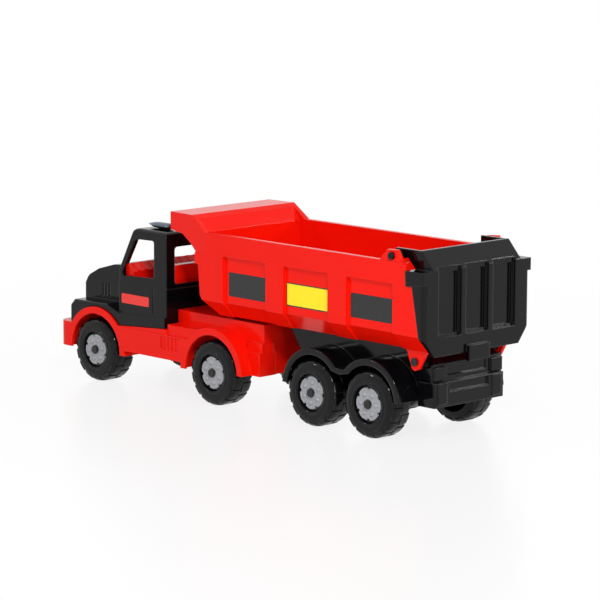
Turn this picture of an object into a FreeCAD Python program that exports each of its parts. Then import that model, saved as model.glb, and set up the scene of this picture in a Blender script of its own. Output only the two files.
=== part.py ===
import FreeCAD, Part
import math
import os
import re

import Sketcher

# Toy semi-trailer dump truck, moulded plastic. Millimetres, +X forward, +Y left, +Z up.
# Lengths along the truck are measured forward from the trailer's rear axle, and heights
# from the floor. Each sub-part is then placed so that the origin lies on the floor under
# the middle of the truck.

SIZES = [
    # whole truck
    ("half_width", 82.0, "half the width over fender lips and body rails"),
    ("nose_x", 514.0, "front of the bumper"),
    ("tail_x", -87.5, "rear of the tailgate's centre tab"),
    ("wall", 2.6, "moulded wall"),
    ("slack", 0.3, "gap between neighbouring pieces that do not move"),
    ("swing_gap", 0.4, "gap between pieces that slide past each other"),
    # wheels
    ("steer_axle_x", 448.0, "front axle of the tractor"),
    ("drive_axle_x", 246.0, "rear axle of the tractor"),
    ("mid_axle_x", 87.0, "front axle of the trailer"),
    ("wheel_radius", 38.0, "tyre over the lugs"),
    ("wheel_width", 29.0, "tyre over the side walls"),
    ("wheel_inset", 1.0, "tyre inside the side of the truck"),
    ("shoulder", 5.0, "slope of the tyre's shoulders"),
    ("lug_height", 1.6, "height of the tread lugs"),
    ("lug_length", 7.0, "length of a lug round the tyre"),
    ("rim_radius", 20.6, "opening in the tyre's side"),
    ("disc_radius", 18.4, "wheel disc over its lobes"),
    ("disc_depth", 1.4, "disc face behind the tyre's side"),
    ("disc_wall", 3.2, "thickness of the wheel disc"),
    ("notch_radius", 2.6, "half the width of the notches between the lobes of the disc"),
    ("hub_radius", 7.0, "hub tube of the disc"),
    ("axle_radius", 2.5, "axle rod"),
    ("axle_play", 0.1, "play of a wheel or pin on its shaft"),
    ("cap_radius", 4.6, "snap head of an axle"),
    ("cap_height", 2.0, "thickness of a snap head"),
    # tractor chassis
    ("arch_gap", 5.0, "arch outside the tyre"),
    ("arch_lip", 8.0, "width of the lip round an arch"),
    ("lip_depth", 2.8, "lip of an arch from the side inwards"),
    ("arch_shift", 2.6, "front arch behind its axle"),
    ("floor_gap", 37.0, "lowest edge of bumper and arches"),
    ("tail_gap", 40.5, "lowest edge of the rear of the tractor"),
    ("bumper_top", 66.0, "top of the front bumper"),
    ("bumper_round", 13.0, "rounding of the bumper seen from above"),
    ("sill_bottom", 43.5, "lower edge of the sill"),
    ("sill_top", 71.5, "upper edge of the sill"),
    ("shoulder_rise", 6.0, "sill shoulder above the sill at the cab's rear"),
    ("frame_half", 47.0, "clear half-width between the walls that carry the axles"),
    ("deck_rear_x", 181.0, "rear of the tractor"),
    ("deck_inset", 23.0, "deck block inside the truck's side"),
    ("deck_top", 98.0, "top of the deck block"),
    ("tread_top", 83.5, "top of the ribbed step behind the cab"),
    ("box_step", 2.0, "rear corner boxes behind the rear wall"),
    # cab
    ("cab_rear_x", 327.0, "rear wall of the cab"),
    ("cab_inset", 6.0, "cab inside the truck's side"),
    ("skirt_inset", 2.5, "fenders and cab skirt inside the truck's side"),
    ("skirt_top", 86.0, "front end of the step under the door"),
    ("skirt_rise", 4.0, "rise of that step towards the rear"),
    ("fender_top", 94.0, "top of the front fenders"),
    ("fender_setback", 22.0, "front of the fenders behind the bumper"),
    ("hood_half", 56.0, "half the width of the bonnet"),
    ("hood_setback", 21.0, "front of the bonnet behind the bumper"),
    ("hood_nose_top", 114.0, "top edge of the bonnet's front"),
    ("hood_round", 9.0, "inward slope of the bonnet's shoulders"),
    ("scuttle_x", 410.0, "foot of the windscreen"),
    ("belt_top", 137.5, "height of the windscreen's foot"),
    ("belt_step", 122.0, "where the lower cab steps out"),
    ("step_depth", 1.4, "depth of that step"),
    ("roof_front_x", 384.0, "front edge of the roof"),
    ("roof_top", 187.0, "top of the roof"),
    ("roof_round", 6.0, "rounding of the roof"),
    ("window_sill", 131.0, "lower edge of the side windows"),
    ("head_drop", 12.0, "upper edge of the side windows below the roof"),
    ("window_round", 3.0, "rounding of the window corners"),
    ("pillar", 23.0, "rear cab pillar seen from the side"),
    ("rear_window_half", 62.0, "half the width of the rear window"),
    ("seat_back_top", 156.0, "top of the seat back"),
    ("lamp_y", 52.0, "roof lamps from the centre line"),
    ("lamp_radius", 6.0, "half the width of a roof lamp"),
    # coupling
    ("kingpin_radius", 6.0, "coupling pin"),
    ("neck_radius", 49.0, "round head of the trailer's neck"),
    ("neck_half", 44.0, "half the width of the trailer's neck"),
    ("neck_depth", 9.6, "thickness of the trailer's neck"),
    # trailer
    ("frame_front_x", 150.0, "front of the deep part of the trailer frame"),
    ("frame_bottom", 50.0, "lower edge of the trailer frame"),
    ("fender_rise", 3.0, "trailer fenders' centre above the axle"),
    ("fender_shift", 3.5, "front trailer fender behind its axle"),
    ("fender_gap", 4.7, "trailer fender outside the tyre"),
    ("fender_wall", 3.8, "thickness of the trailer fenders"),
    ("fender_foot", 45.0, "lower end of the trailer fenders"),
    ("fender_valley", 6.0, "rounding between the trailer fenders"),
    ("valley_top", 71.0, "top of the saddle between the trailer fenders"),
    ("valley_half", 8.0, "half the length of that saddle"),
    ("valley_depth", 6.2, "thickness of that saddle in its middle"),
    ("beam_half", 54.0, "half the width of the rear bumper"),
    ("beam_x", -73.0, "rear face of the lower bumper beam"),
    ("beam_return", 24.0, "length of the bumper's sides"),
    ("beam_low", 40.0, "lower edge of the rear bumper"),
    ("beam_mid", 67.0, "top of the lower beam"),
    ("beam_high", 87.0, "top of the upper beam"),
    # dump body
    ("body_gap", 2.0, "air between trailer frame and load floor"),
    ("skirt_drop", 6.0, "side skirts of the body below the frame's top"),
    ("bend_rise", 18.0, "height of the sloping lower edge"),
    ("bend_inset", 16.5, "inward slope of the sides' lower edge"),
    ("rail_depth", 24.0, "height of the body rails"),
    ("panel_depth", 4.0, "depth of the recessed side panels"),
    ("panel_length", 69.2, "length of a side panel"),
    ("panel_pitch", 97.0, "distance between side panels"),
    ("panel_rear_x", -37.0, "rear end of the rearmost side panel"),
    ("cab_clear", 8.3, "canopy behind the cab"),
    ("header_reach", 48.7, "canopy in front of the body"),
    ("header_taper", 5.2, "canopy narrower than the rails at its front"),
    ("header_clear", 6.5, "canopy's front edge above the roof"),
    ("header_depth", 20.0, "height of the canopy's front"),
    ("header_rise", 17.0, "canopy above the rails"),
    ("tip_x", -55.0, "tipping hinge"),
    ("tip_z", 89.7, "height of the tipping hinge"),
    ("lug_inset", 21.0, "inner side of the hinge lugs inside the truck's side"),
    ("lug_thick", 4.0, "thickness of the hinge lugs"),
    # tailgate
    ("gate_x", -83.0, "rear face of the tailgate"),
    ("gate_wall", 5.0, "thickness of the tailgate plate"),
    ("gate_reach", 26.0, "forward reach of the tailgate's sides at the shoulder"),
    ("gate_round", 5.0, "rounding of the tailgate's upright corners"),
    ("gate_recess", 3.0, "depth of each step of the tailgate's recessed panels"),
    ("gate_panel", 35.0, "width of a recessed panel"),
    ("gate_pitch", 42.0, "distance between the recessed panels"),
    ("shoulder_drop", 7.5, "tailgate's shoulder below the rails"),
    ("gate_lean", 20.0, "height of the leaning top"),
    ("gate_lean_x", 18.0, "forward reach of the leaning top"),
    ("gate_top_inset", 14.0, "leaning top inside the truck's side"),
    ("gate_drop", 4.3, "tailgate below the body's lower edge"),
    ("tab_half", 16.0, "half the width of the centre tab"),
    ("hook_out", 2.0, "shoulder hooks outside the truck's side"),
    ("hook_height", 13.5, "height of the shoulder hooks"),
    ("pin_x", -34.0, "tailgate hinge"),
    ("pin_rise", 5.5, "tailgate hinge above the rails"),
    ("pin_radius", 4.0, "tailgate hinge pin"),
]

# places that follow from the sizes above
CENTRE_X = "(nose_x + tail_x) / 2"
ARCH = "(wheel_radius + arch_gap)"
ARCH_OUT = "(wheel_radius + arch_gap + arch_lip)"
FRONT_ARCH_X = "(steer_axle_x - arch_shift)"
FRAME_OUT = "(frame_half + wall)"
DECK_HALF = "(half_width - deck_inset)"
CAB_HALF = "(half_width - cab_inset)"
SKIRT_HALF = "(half_width - skirt_inset)"
HOOD_FRONT = "(nose_x - hood_setback)"
FENDER_FRONT = "(nose_x - fender_setback)"
WINDOW_HEAD = "(roof_top - head_drop)"
NECK_UNDER = "(deck_top + swing_gap)"
FRAME_TOP = "(deck_top + swing_gap + neck_depth)"
FENDER_Z = "(wheel_radius + fender_rise)"
FENDER_IN = "(wheel_radius + fender_gap)"
FENDER_OUT = "(wheel_radius + fender_gap + fender_wall)"
FENDER_LIP = "(wheel_radius + lug_height)"
FLOOR_UNDER = "(deck_top + swing_gap + neck_depth + body_gap)"
FLOOR_TOP = "(deck_top + swing_gap + neck_depth + body_gap + wall)"
BODY_LOW = "(deck_top + swing_gap + neck_depth - skirt_drop)"
BEND = "(deck_top + swing_gap + neck_depth - skirt_drop + bend_rise)"
FOOT_HALF = "(half_width - bend_inset)"
HEADER_LIP = "(roof_top + header_clear)"
HEADER_TOP = "(roof_top + header_clear + header_depth)"
RAIL_TOP = "(roof_top + header_clear + header_depth - header_rise)"
RAIL_LOW = "(roof_top + header_clear + header_depth - header_rise - rail_depth)"
HEADER_FRONT = "(cab_rear_x - cab_clear)"
BODY_FRONT = "(cab_rear_x - cab_clear - header_reach)"
INNER_HALF = "(half_width - panel_depth - wall)"
SHOULDER_Z = "(" + RAIL_TOP + " - shoulder_drop)"
GATE_TOP = "(" + RAIL_TOP + " - shoulder_drop + gate_lean)"
GATE_TOP_X = "(gate_x + gate_lean_x)"
GATE_TOP_HALF = "(half_width - gate_top_inset)"
GATE_LOW = "(" + BODY_LOW + " - gate_drop)"
GATE_INNER = "(gate_x + gate_wall)"
PIN_Z = "(" + RAIL_TOP + " + pin_rise)"
SPAN = "(2 * half_width + 20)"

ROUGH = 100.0  # size of a sketch before its constraints pull it into shape
TREAD_LUGS = 14
TYRE_SIDES = 28
RIM_SIDES = 16
HUB_SIDES = 8
CAP_SIDES = 12
DISC_LOBES = 6
DISC_SIDES = 24
SIDE_PANELS = 3

doc = FreeCAD.newDocument("dump_truck")
sheet = doc.addObject("Spreadsheet::Sheet", "Sizes")
SIZE = {}
for row, (alias, value, meaning) in enumerate(SIZES, start=1):
    sheet.set("A%d" % row, alias)
    sheet.set("B%d" % row, str(value))
    sheet.setAlias("B%d" % row, alias)
    sheet.set("C%d" % row, meaning)
    SIZE[alias] = value
doc.recompute()


# ---------------------------------------------------------------- helpers
def sized(text):
    """Turn the names in a formula into references to the sheet."""
    def refer(match):
        word = match.group(0)
        return "Sizes." + word if word in SIZE else word
    return re.sub(r"[a-z_]+", refer, str(text))


def new_body(label, along="0", side="0", up="0"):
    body = doc.addObject("PartDesign::Body", label)
    body.Label = label
    body.setExpression("Placement.Base.x", sized("%s - %s" % (along, CENTRE_X)))
    body.setExpression("Placement.Base.y", sized(side))
    body.setExpression("Placement.Base.z", sized(up))
    return body


def plane_of(body, role):
    return next(item for item in body.Origin.OriginFeatures if item.Role == role)


def new_sketch(body, name, plane, offset):
    """An empty sketch on an origin plane of its own body, moved along the plane's normal."""
    sketch = body.newObject("Sketcher::SketchObject", name)
    sketch.AttachmentSupport = [(plane_of(body, plane + "_Plane"), "")]
    sketch.MapMode = "FlatFace"
    if offset != "0":
        sketch.setExpression("AttachmentOffset.Base.z", sized(offset))
    return sketch


def outlines(body, name, plane, rings, offset="0"):
    """Closed outlines in one sketch; the corners of each are pairs of formulas."""
    sketch = new_sketch(body, name, plane, offset)
    first = 0
    for corners in rings:
        count = len(corners)
        ring = []
        for index in range(count):
            angle = 2 * math.pi * index / count
            ring.append(FreeCAD.Vector(ROUGH * math.cos(angle), ROUGH * math.sin(angle), 0))
        for index in range(count):
            sketch.addGeometry(Part.LineSegment(ring[index], ring[(index + 1) % count]), False)
        for index in range(count):
            sketch.addConstraint(Sketcher.Constraint(
                "Coincident", first + index, 2, first + (index + 1) % count, 1))
        for index, (across, up) in enumerate(corners):
            for kind, start, formula in (("DistanceX", ring[index].x, across),
                                         ("DistanceY", ring[index].y, up)):
                number = sketch.addConstraint(
                    Sketcher.Constraint(kind, -1, 1, first + index, 1, start))
                sketch.setExpression("Constraints[%d]" % number, sized(formula))
        first += count
    return sketch


def outline(body, name, plane, corners, offset="0"):
    """One closed outline whose corners are pairs of formulas."""
    return outlines(body, name, plane, [corners], offset)


def polygon_corners(sides, radius):
    """A regular outline round the body's axis, with a flat side at the bottom."""
    corners = []
    for index in range(sides):
        angle = 2 * math.pi * (index + 0.5) / sides
        corners.append(("%s * %.6f" % (radius, math.cos(angle)),
                        "%s * %.6f" % (radius, math.sin(angle))))
    return corners


def polygon(body, name, plane, sides, radius, offset="0"):
    return outline(body, name, plane, polygon_corners(sides, radius), offset)


def circles(body, name, plane, rounds, offset="0"):
    """A sketch of whole circles, each a centre and a radius."""
    sketch = new_sketch(body, name, plane, offset)
    for index, (across, up, radius) in enumerate(rounds):
        start = FreeCAD.Vector(ROUGH * (index + 1), ROUGH, 0)
        sketch.addGeometry(Part.Circle(start, FreeCAD.Vector(0, 0, 1), ROUGH / 4), False)
        for kind, value, formula in (("DistanceX", start.x, across), ("DistanceY", start.y, up)):
            number = sketch.addConstraint(Sketcher.Constraint(kind, -1, 1, index, 3, value))
            sketch.setExpression("Constraints[%d]" % number, sized(formula))
        number = sketch.addConstraint(Sketcher.Constraint("Radius", index, ROUGH / 4))
        sketch.setExpression("Constraints[%d]" % number, sized(radius))
    return sketch


def feature(kind, body, sketch, length, symmetric, backwards):
    item = body.newObject("PartDesign::" + kind, sketch.Name + kind)
    item.Profile = sketch
    item.setExpression("Length", sized(length))
    if symmetric:
        item.SideType = "Symmetric"
    item.Reversed = backwards
    return item


def pad(body, sketch, length, symmetric=False, backwards=False):
    return feature("Pad", body, sketch, length, symmetric, backwards)


def pocket(body, sketch, length, symmetric=False, backwards=False):
    """Cut a sketch out of the body; a cut that removes nothing stops the build."""
    doc.recompute()
    before = body.Tip.Shape.Volume
    item = feature("Pocket", body, sketch, length, symmetric, backwards)
    doc.recompute()
    if item.Shape.Volume > before - 1e-3:
        raise RuntimeError("nothing was cut by " + item.Name)
    return item


def both_sides(body, item):
    """Repeat a feature of the left side on the right side."""
    twin = body.newObject("PartDesign::Mirrored", item.Name + "Twin")
    twin.Originals = [item]
    twin.MirrorPlane = (plane_of(body, "XZ_Plane"), [""])
    body.Tip = twin
    return twin


def both_whole(body, name):
    """Repeat everything made so far on the other side of the centre line."""
    twin = body.newObject("PartDesign::Mirrored", name)
    twin.TransformMode = "Whole shape"
    twin.MirrorPlane = (plane_of(body, "XZ_Plane"), [""])
    body.Tip = twin
    return twin


def box_corners(low_x, high_x, low_z, high_z):
    return [(low_x, low_z), (high_x, low_z), (high_x, high_z), (low_x, high_z)]


def slab(body, name, corners, half):
    """Pad a side outline to the same distance left and right of the centre line."""
    return pad(body, outline(body, name, "XZ", corners), "2 * (%s)" % half, symmetric=True)


def slot(body, name, corners, half):
    """Cut a side outline to the same distance left and right of the centre line."""
    return pocket(body, outline(body, name, "XZ", corners), "2 * (%s)" % half, symmetric=True)


def on_sides(body, sketch, inner, outer, cut):
    # the normal of the XZ plane points to -Y: a pad has to be turned round to go outwards,
    # a pocket already goes against the normal
    make = pocket if cut else pad
    item = make(body, sketch, "(%s) - (%s)" % (outer, inner), backwards=not cut)
    return both_sides(body, item)


def side_block(body, name, corners, inner, outer, cut=False):
    """Pad or cut a side outline between two distances from the centre line, on both sides."""
    return side_row(body, name, [corners], inner, outer, cut)


def side_row(body, name, rings, inner, outer, cut=False):
    """The same as side_block for several outlines at once."""
    sketch = outlines(body, name, "XZ", rings, offset="-(%s)" % inner)
    return on_sides(body, sketch, inner, outer, cut)


def side_rounds(body, name, rounds, inner, outer, cut=False):
    """Pad or cut circles between two distances from the centre line, on both sides."""
    sketch = circles(body, name, "XZ", rounds, offset="-(%s)" % inner)
    return on_sides(body, sketch, inner, outer, cut)


def along_cut(body, name, corners, start, end):
    """Cut a cross-section out of the left side between two places along the truck, and mirror it."""
    sketch = outline(body, name, "YZ", corners, offset=start)
    return both_sides(body, pocket(body, sketch, "(%s) - (%s)" % (end, start), backwards=True))


def along_pad(body, name, corners, start, end):
    """Add a cross-section to the left side between two places along the truck, and mirror it."""
    sketch = outline(body, name, "YZ", corners, offset=start)
    return both_sides(body, pad(body, sketch, "(%s) - (%s)" % (end, start)))


def round_edges(body, name, radius, wanted):
    """Round the edges of the body's tip that pass the test."""
    doc.recompute()
    base = body.Tip
    picked = ["Edge%d" % number for number, edge in enumerate(base.Shape.Edges, start=1)
              if wanted(edge)]
    if not picked:
        raise RuntimeError("no edge to round for " + name)
    item = body.newObject("PartDesign::Fillet", name)
    item.Base = (base, picked)
    item.setExpression("Radius", sized(radius))
    return item


def slope_edges(body, name, size, wanted):
    """Cut a slope of equal size along the edges of the body's tip that pass the test."""
    doc.recompute()
    base = body.Tip
    picked = ["Edge%d" % number for number, edge in enumerate(base.Shape.Edges, start=1)
              if wanted(edge)]
    if not picked:
        raise RuntimeError("no edge to slope for " + name)
    item = body.newObject("PartDesign::Chamfer", name)
    item.Base = (base, picked)
    item.setExpression("Size", sized(size))
    return item


def runs_along(edge, axis):
    """True for a straight edge along one axis, 0 for X, 1 for Y and 2 for Z."""
    box = edge.BoundBox
    spans = [box.XLength, box.YLength, box.ZLength]
    others = spans[:axis] + spans[axis + 1:]
    return spans[axis] > 0.1 and max(others) < 0.01


# ---------------------------------------------------------------- tractor chassis
def build_chassis():
    """Red moulding: bumper, arches with lips, sills, deck and rear corner boxes."""
    body = new_body("tractor_chassis")
    bumper = outline(body, "bumper", "XY", [
        ("steer_axle_x + 22", "-half_width"), ("nose_x - 2", "-half_width"), ("nose_x", "0"),
        ("nose_x - 2", "half_width"), ("steer_axle_x + 22", "half_width")], offset="floor_gap")
    pad(body, bumper, "bumper_top - floor_gap")
    round_edges(body, "bumper_rounding", "bumper_round", lambda edge: (
        runs_along(edge, 2) and edge.BoundBox.XMin > SIZE["nose_x"] - 3
        and abs(edge.BoundBox.YMin) > 1))
    side_rounds(body, "front_lips", [(FRONT_ARCH_X, "wheel_radius", ARCH_OUT)],
                "frame_half", "half_width")
    slab(body, "sill", box_corners("drive_axle_x + 20", "steer_axle_x - 20",
                                   "sill_bottom", "sill_top"), "half_width")
    slab(body, "sill_shoulder", [
        ("cab_rear_x - 4", "sill_top - 4"), ("cab_rear_x - 4", "sill_top + shoulder_rise"),
        ("cab_rear_x", "sill_top + shoulder_rise"), ("steer_axle_x - 38", "sill_top"),
        ("steer_axle_x - 38", "sill_top - 4")], SKIRT_HALF + " + 0.8")
    side_rounds(body, "rear_lips", [("drive_axle_x", "wheel_radius", ARCH_OUT)],
                "frame_half", "half_width")
    slab(body, "deck", box_corners("deck_rear_x + box_step", "cab_rear_x - 1",
                                   "tail_gap", "deck_top"), DECK_HALF)
    along_pad(body, "low_boxes", [
        ("frame_half - 4", "tail_gap"), (DECK_HALF + " + 8.5", "tail_gap"),
        (DECK_HALF + " + 8.5", "tail_gap + 26"), ("frame_half - 4", "tail_gap + 26")],
        "deck_rear_x", "deck_rear_x + 18")
    along_pad(body, "high_boxes", [
        ("frame_half - 1", "tail_gap + 20"), (DECK_HALF + " + 5", "tail_gap + 20"),
        (DECK_HALF + " + 5", "tail_gap + 37"), ("frame_half - 1", "tail_gap + 37")],
        "deck_rear_x", "deck_rear_x + 24")
    side_block(body, "tread", box_corners("drive_axle_x + 24", "cab_rear_x - 4",
                                          "sill_top - 4", "tread_top"),
               DECK_HALF + " - 4", "half_width - 4")
    # everything below the lowest edge goes
    slot(body, "below", box_corners("deck_rear_x - 50", "nose_x + 50", "-50", "floor_gap"), SPAN)
    slot(body, "below_rear", box_corners("deck_rear_x - 50", "drive_axle_x", "0", "tail_gap"), SPAN)
    # tunnel between the walls that carry the axles
    slot(body, "tunnel", [
        ("deck_rear_x + box_step + wall", "0"),
        ("deck_rear_x + box_step + wall", "deck_top - wall"),
        ("cab_rear_x - 1 - wall", "deck_top - wall"),
        ("cab_rear_x - 1 - wall", "sill_top - wall"),
        ("steer_axle_x", "sill_top - wall"),
        ("nose_x - wall - 5", "bumper_top - wall"),
        ("nose_x - wall - 5", "0")], "frame_half")
    # wheel wells under the fender tops, and the openings inside their lips
    for word, along in (("front", FRONT_ARCH_X), ("rear", "drive_axle_x")):
        side_rounds(body, word + "_wells", [(along, "wheel_radius", ARCH_OUT + " - wall")],
                    FRAME_OUT, "half_width - lip_depth", cut=True)
        side_rounds(body, word + "_openings", [(along, "wheel_radius", ARCH)],
                    "half_width - lip_depth - 1", "half_width + 5", cut=True)
    side_block(body, "sill_bay", box_corners(
        "drive_axle_x + " + ARCH_OUT, FRONT_ARCH_X + " - " + ARCH_OUT, "0", "sill_top - wall"),
        FRAME_OUT, "half_width - wall", cut=True)
    side_block(body, "nose_bay", box_corners(
        "steer_axle_x + " + ARCH, "nose_x - wall - 5", "0", "bumper_top - wall"),
        FRAME_OUT, "half_width - bumper_round", cut=True)
    side_block(body, "deck_bay", box_corners(
        "drive_axle_x + " + ARCH_OUT, "cab_rear_x - 1 - wall", "0", "deck_top - wall"),
        FRAME_OUT, DECK_HALF + " - wall", cut=True)
    # louvred panel in the sill behind the cab
    side_block(body, "sill_panel", [
        ("cab_rear_x - 25", "sill_top - 17"), ("cab_rear_x + 4", "sill_top - 17"),
        ("cab_rear_x + 4", "sill_top - 2"), ("cab_rear_x - 30", "sill_top - 2")],
        "half_width - 1.2", "half_width + 5", cut=True)
    side_row(body, "louvres", [box_corners(
        "cab_rear_x - 21 + 6.5 * %d" % index, "cab_rear_x - 18 + 6.5 * %d" % index,
        "sill_top - 17.5", "sill_top - 1.5") for index in range(4)],
        "half_width - 1.4", "half_width - 0.2")
    side_row(body, "tread_grooves", [box_corners(
        "drive_axle_x + 34 + 7 * %d" % index, "drive_axle_x + 36.5 + 7 * %d" % index,
        "tread_top - 1.2", "tread_top + 5") for index in range(6)],
        DECK_HALF, "half_width", cut=True)
    axles = circles(body, "axle_holes", "XZ", [
        ("steer_axle_x", "wheel_radius", "axle_radius + axle_play"),
        ("drive_axle_x", "wheel_radius", "axle_radius + axle_play")])
    pocket(body, axles, SPAN, symmetric=True)
    hole = circles(body, "coupling_hole", "XY",
                   [("drive_axle_x", "0", "kingpin_radius + swing_gap")], offset="deck_top + 5")
    pocket(body, hole, "wall + 10")
    return body


# ---------------------------------------------------------------- cab
def build_cab():
    """Black moulding: bonnet, fenders, cabin and skirt, hollow, with its windows cut."""
    body = new_body("cab_shell")
    slab(body, "skirt", [
        ("cab_rear_x", "sill_top + shoulder_rise + slack"),
        ("cab_rear_x", "skirt_top + skirt_rise"),
        ("steer_axle_x - 42", "skirt_top"),
        ("steer_axle_x - 18", "fender_top"),
        (FENDER_FRONT + " - 5", "fender_top - 1"),
        (FENDER_FRONT, "fender_top - 6"),
        (FENDER_FRONT, "bumper_top + slack"),
        ("steer_axle_x", "bumper_top + slack"),
        ("steer_axle_x - 38", "sill_top + slack")], SKIRT_HALF)
    slab(body, "hood", [
        ("scuttle_x - 10", "sill_top + 5"),
        ("scuttle_x - 10", "belt_top"),
        ("scuttle_x", "belt_top"),
        ("steer_axle_x + 2", "belt_top - 2.5"),
        (HOOD_FRONT + " - 19", "hood_nose_top + 14"),
        (HOOD_FRONT + " - 6", "hood_nose_top + 6"),
        (HOOD_FRONT, "hood_nose_top - 4"),
        (HOOD_FRONT, "bumper_top + slack"),
        ("steer_axle_x", "bumper_top + slack")], "hood_half")
    along_cut(body, "hood_shoulders", [
        ("hood_half + 1", "hood_nose_top + 3"), ("hood_half", "hood_nose_top + 3"),
        ("hood_half - hood_round", "belt_top + 1"), ("hood_half + 1", "belt_top + 1")],
        "scuttle_x", HOOD_FRONT + " + 1")
    round_edges(body, "fender_rounding", "roof_round / 2", lambda edge: (
        abs(abs(edge.BoundBox.YMin) - SIZE["half_width"] + SIZE["skirt_inset"]) < 0.01
        and edge.BoundBox.YLength < 0.01
        and edge.BoundBox.ZMin > SIZE["fender_top"] - 7
        and edge.BoundBox.XMin > SIZE["steer_axle_x"] - 20))
    slab(body, "lower_cabin", box_corners("cab_rear_x", "scuttle_x",
                                          "skirt_top - 4", "belt_step"), CAB_HALF)
    slab(body, "cabin", [
        ("cab_rear_x + step_depth", "belt_step - 5"),
        ("cab_rear_x + step_depth", "roof_top"),
        ("roof_front_x", "roof_top"),
        ("scuttle_x", "belt_top"),
        ("scuttle_x", "belt_step - 5")], CAB_HALF + " - step_depth")
    round_edges(body, "roof_rounding", "roof_round", lambda edge: (
        edge.BoundBox.ZMin > SIZE["roof_top"] - 1))
    # hollow
    slot(body, "room", [
        ("cab_rear_x + step_depth + wall", "0"),
        ("cab_rear_x + step_depth + wall", "roof_top - wall"),
        ("roof_front_x - 1", "roof_top - wall"),
        ("scuttle_x - wall", "belt_top - wall"),
        ("scuttle_x - wall", "0")], CAB_HALF + " - step_depth - wall")
    slot(body, "engine_room", [
        ("scuttle_x - 12", "0"),
        ("scuttle_x - 12", "belt_top - wall - 2"),
        ("steer_axle_x", "belt_top - wall - 3"),
        (HOOD_FRONT + " - 20", "hood_nose_top + 11"),
        (HOOD_FRONT + " - wall - 6", "hood_nose_top + 2"),
        (HOOD_FRONT + " - wall - 1.5", "hood_nose_top - 5"),
        (HOOD_FRONT + " - wall - 1.5", "0")], "hood_half - hood_round - wall")
    slot(body, "fender_room", [
        ("cab_rear_x + wall", "0"),
        ("cab_rear_x + wall", "skirt_top + skirt_rise - wall"),
        ("steer_axle_x - 42", "skirt_top - wall"),
        ("steer_axle_x - 18", "fender_top - wall"),
        (FENDER_FRONT + " - 6", "fender_top - wall - 1"),
        (FENDER_FRONT + " - wall", "fender_top - 8"),
        (FENDER_FRONT + " - wall", "0")], SKIRT_HALF + " - wall")
    arches = circles(body, "fender_arches", "XZ",
                     [(FRONT_ARCH_X, "wheel_radius", ARCH_OUT + " + slack")])
    pocket(body, arches, SPAN, symmetric=True)
    # windows
    slot(body, "side_windows", [
        ("cab_rear_x + pillar", "window_sill + 1.5"),
        ("scuttle_x - 5", "window_sill - 1"),
        ("scuttle_x - 5", "window_sill + 4"),
        ("roof_front_x - 1", WINDOW_HEAD + " - 2"),
        ("roof_front_x - 5", WINDOW_HEAD),
        ("cab_rear_x + pillar", WINDOW_HEAD + " + 0.8")], CAB_HALF + " + 5")
    rear = outline(body, "rear_window", "YZ", [
        ("-rear_window_half", "window_sill - 4"), ("rear_window_half", "window_sill - 4"),
        ("rear_window_half", WINDOW_HEAD + " - 5"), ("-rear_window_half", WINDOW_HEAD + " - 5")],
        offset="cab_rear_x - 5")
    pocket(body, rear, "5 + step_depth + wall + 2", backwards=True)
    front = outline(body, "windscreen", "YZ", [
        ("-(%s - 10)" % CAB_HALF, "belt_top + 3"), ("%s - 10" % CAB_HALF, "belt_top + 3"),
        ("%s - 13" % CAB_HALF, "roof_top - 9"), ("-(%s - 13)" % CAB_HALF, "roof_top - 9")],
        offset="scuttle_x + 20")
    pocket(body, front, "60")
    round_edges(body, "window_rounding", "window_round", lambda edge: (
        runs_along(edge, 1) and edge.BoundBox.YLength < SIZE["wall"] + 1
        and edge.BoundBox.ZMin > SIZE["window_sill"] - 3
        and edge.BoundBox.XMin > SIZE["cab_rear_x"] + 10))
    round_edges(body, "rear_window_rounding", "window_round + 1", lambda edge: (
        runs_along(edge, 0) and edge.BoundBox.XMax < SIZE["cab_rear_x"] + 8
        and edge.BoundBox.ZMin > SIZE["window_sill"] - 6
        and abs(abs(edge.BoundBox.YMin) - SIZE["rear_window_half"]) < 0.01))
    # louvres in the bonnet's sides, grille bars in its front, lamps in the fenders
    side_row(body, "hood_louvres", [box_corners(
        "steer_axle_x + 1 + 5.5 * %d" % index, "steer_axle_x + 3.5 + 5.5 * %d" % index,
        "fender_top + 3", "hood_nose_top - 1") for index in range(3)],
        "hood_half - 1", "hood_half + 1", cut=True)
    grille = outlines(body, "grille", "YZ", [box_corners(
        "-(hood_half - 14)", "hood_half - 14", "bumper_top + 8 + 8 * %d" % index,
        "bumper_top + 12.5 + 8 * %d" % index) for index in range(4)], offset=HOOD_FRONT + " + 5")
    pocket(body, grille, "5 + 1.5")
    lamps = circles(body, "headlamps", "YZ",
                    [("hood_half + 11.5", "bumper_top + 12", "7.5")], offset=FENDER_FRONT)
    both_sides(body, pad(body, lamps, "1.5"))
    # door lines
    side_block(body, "door_groove", box_corners(
        "cab_rear_x + pillar", "cab_rear_x + pillar + 1.2", "skirt_top + 3", "belt_step - 2"),
        CAB_HALF + " - 0.7", CAB_HALF + " + 1", cut=True)
    return body


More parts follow.
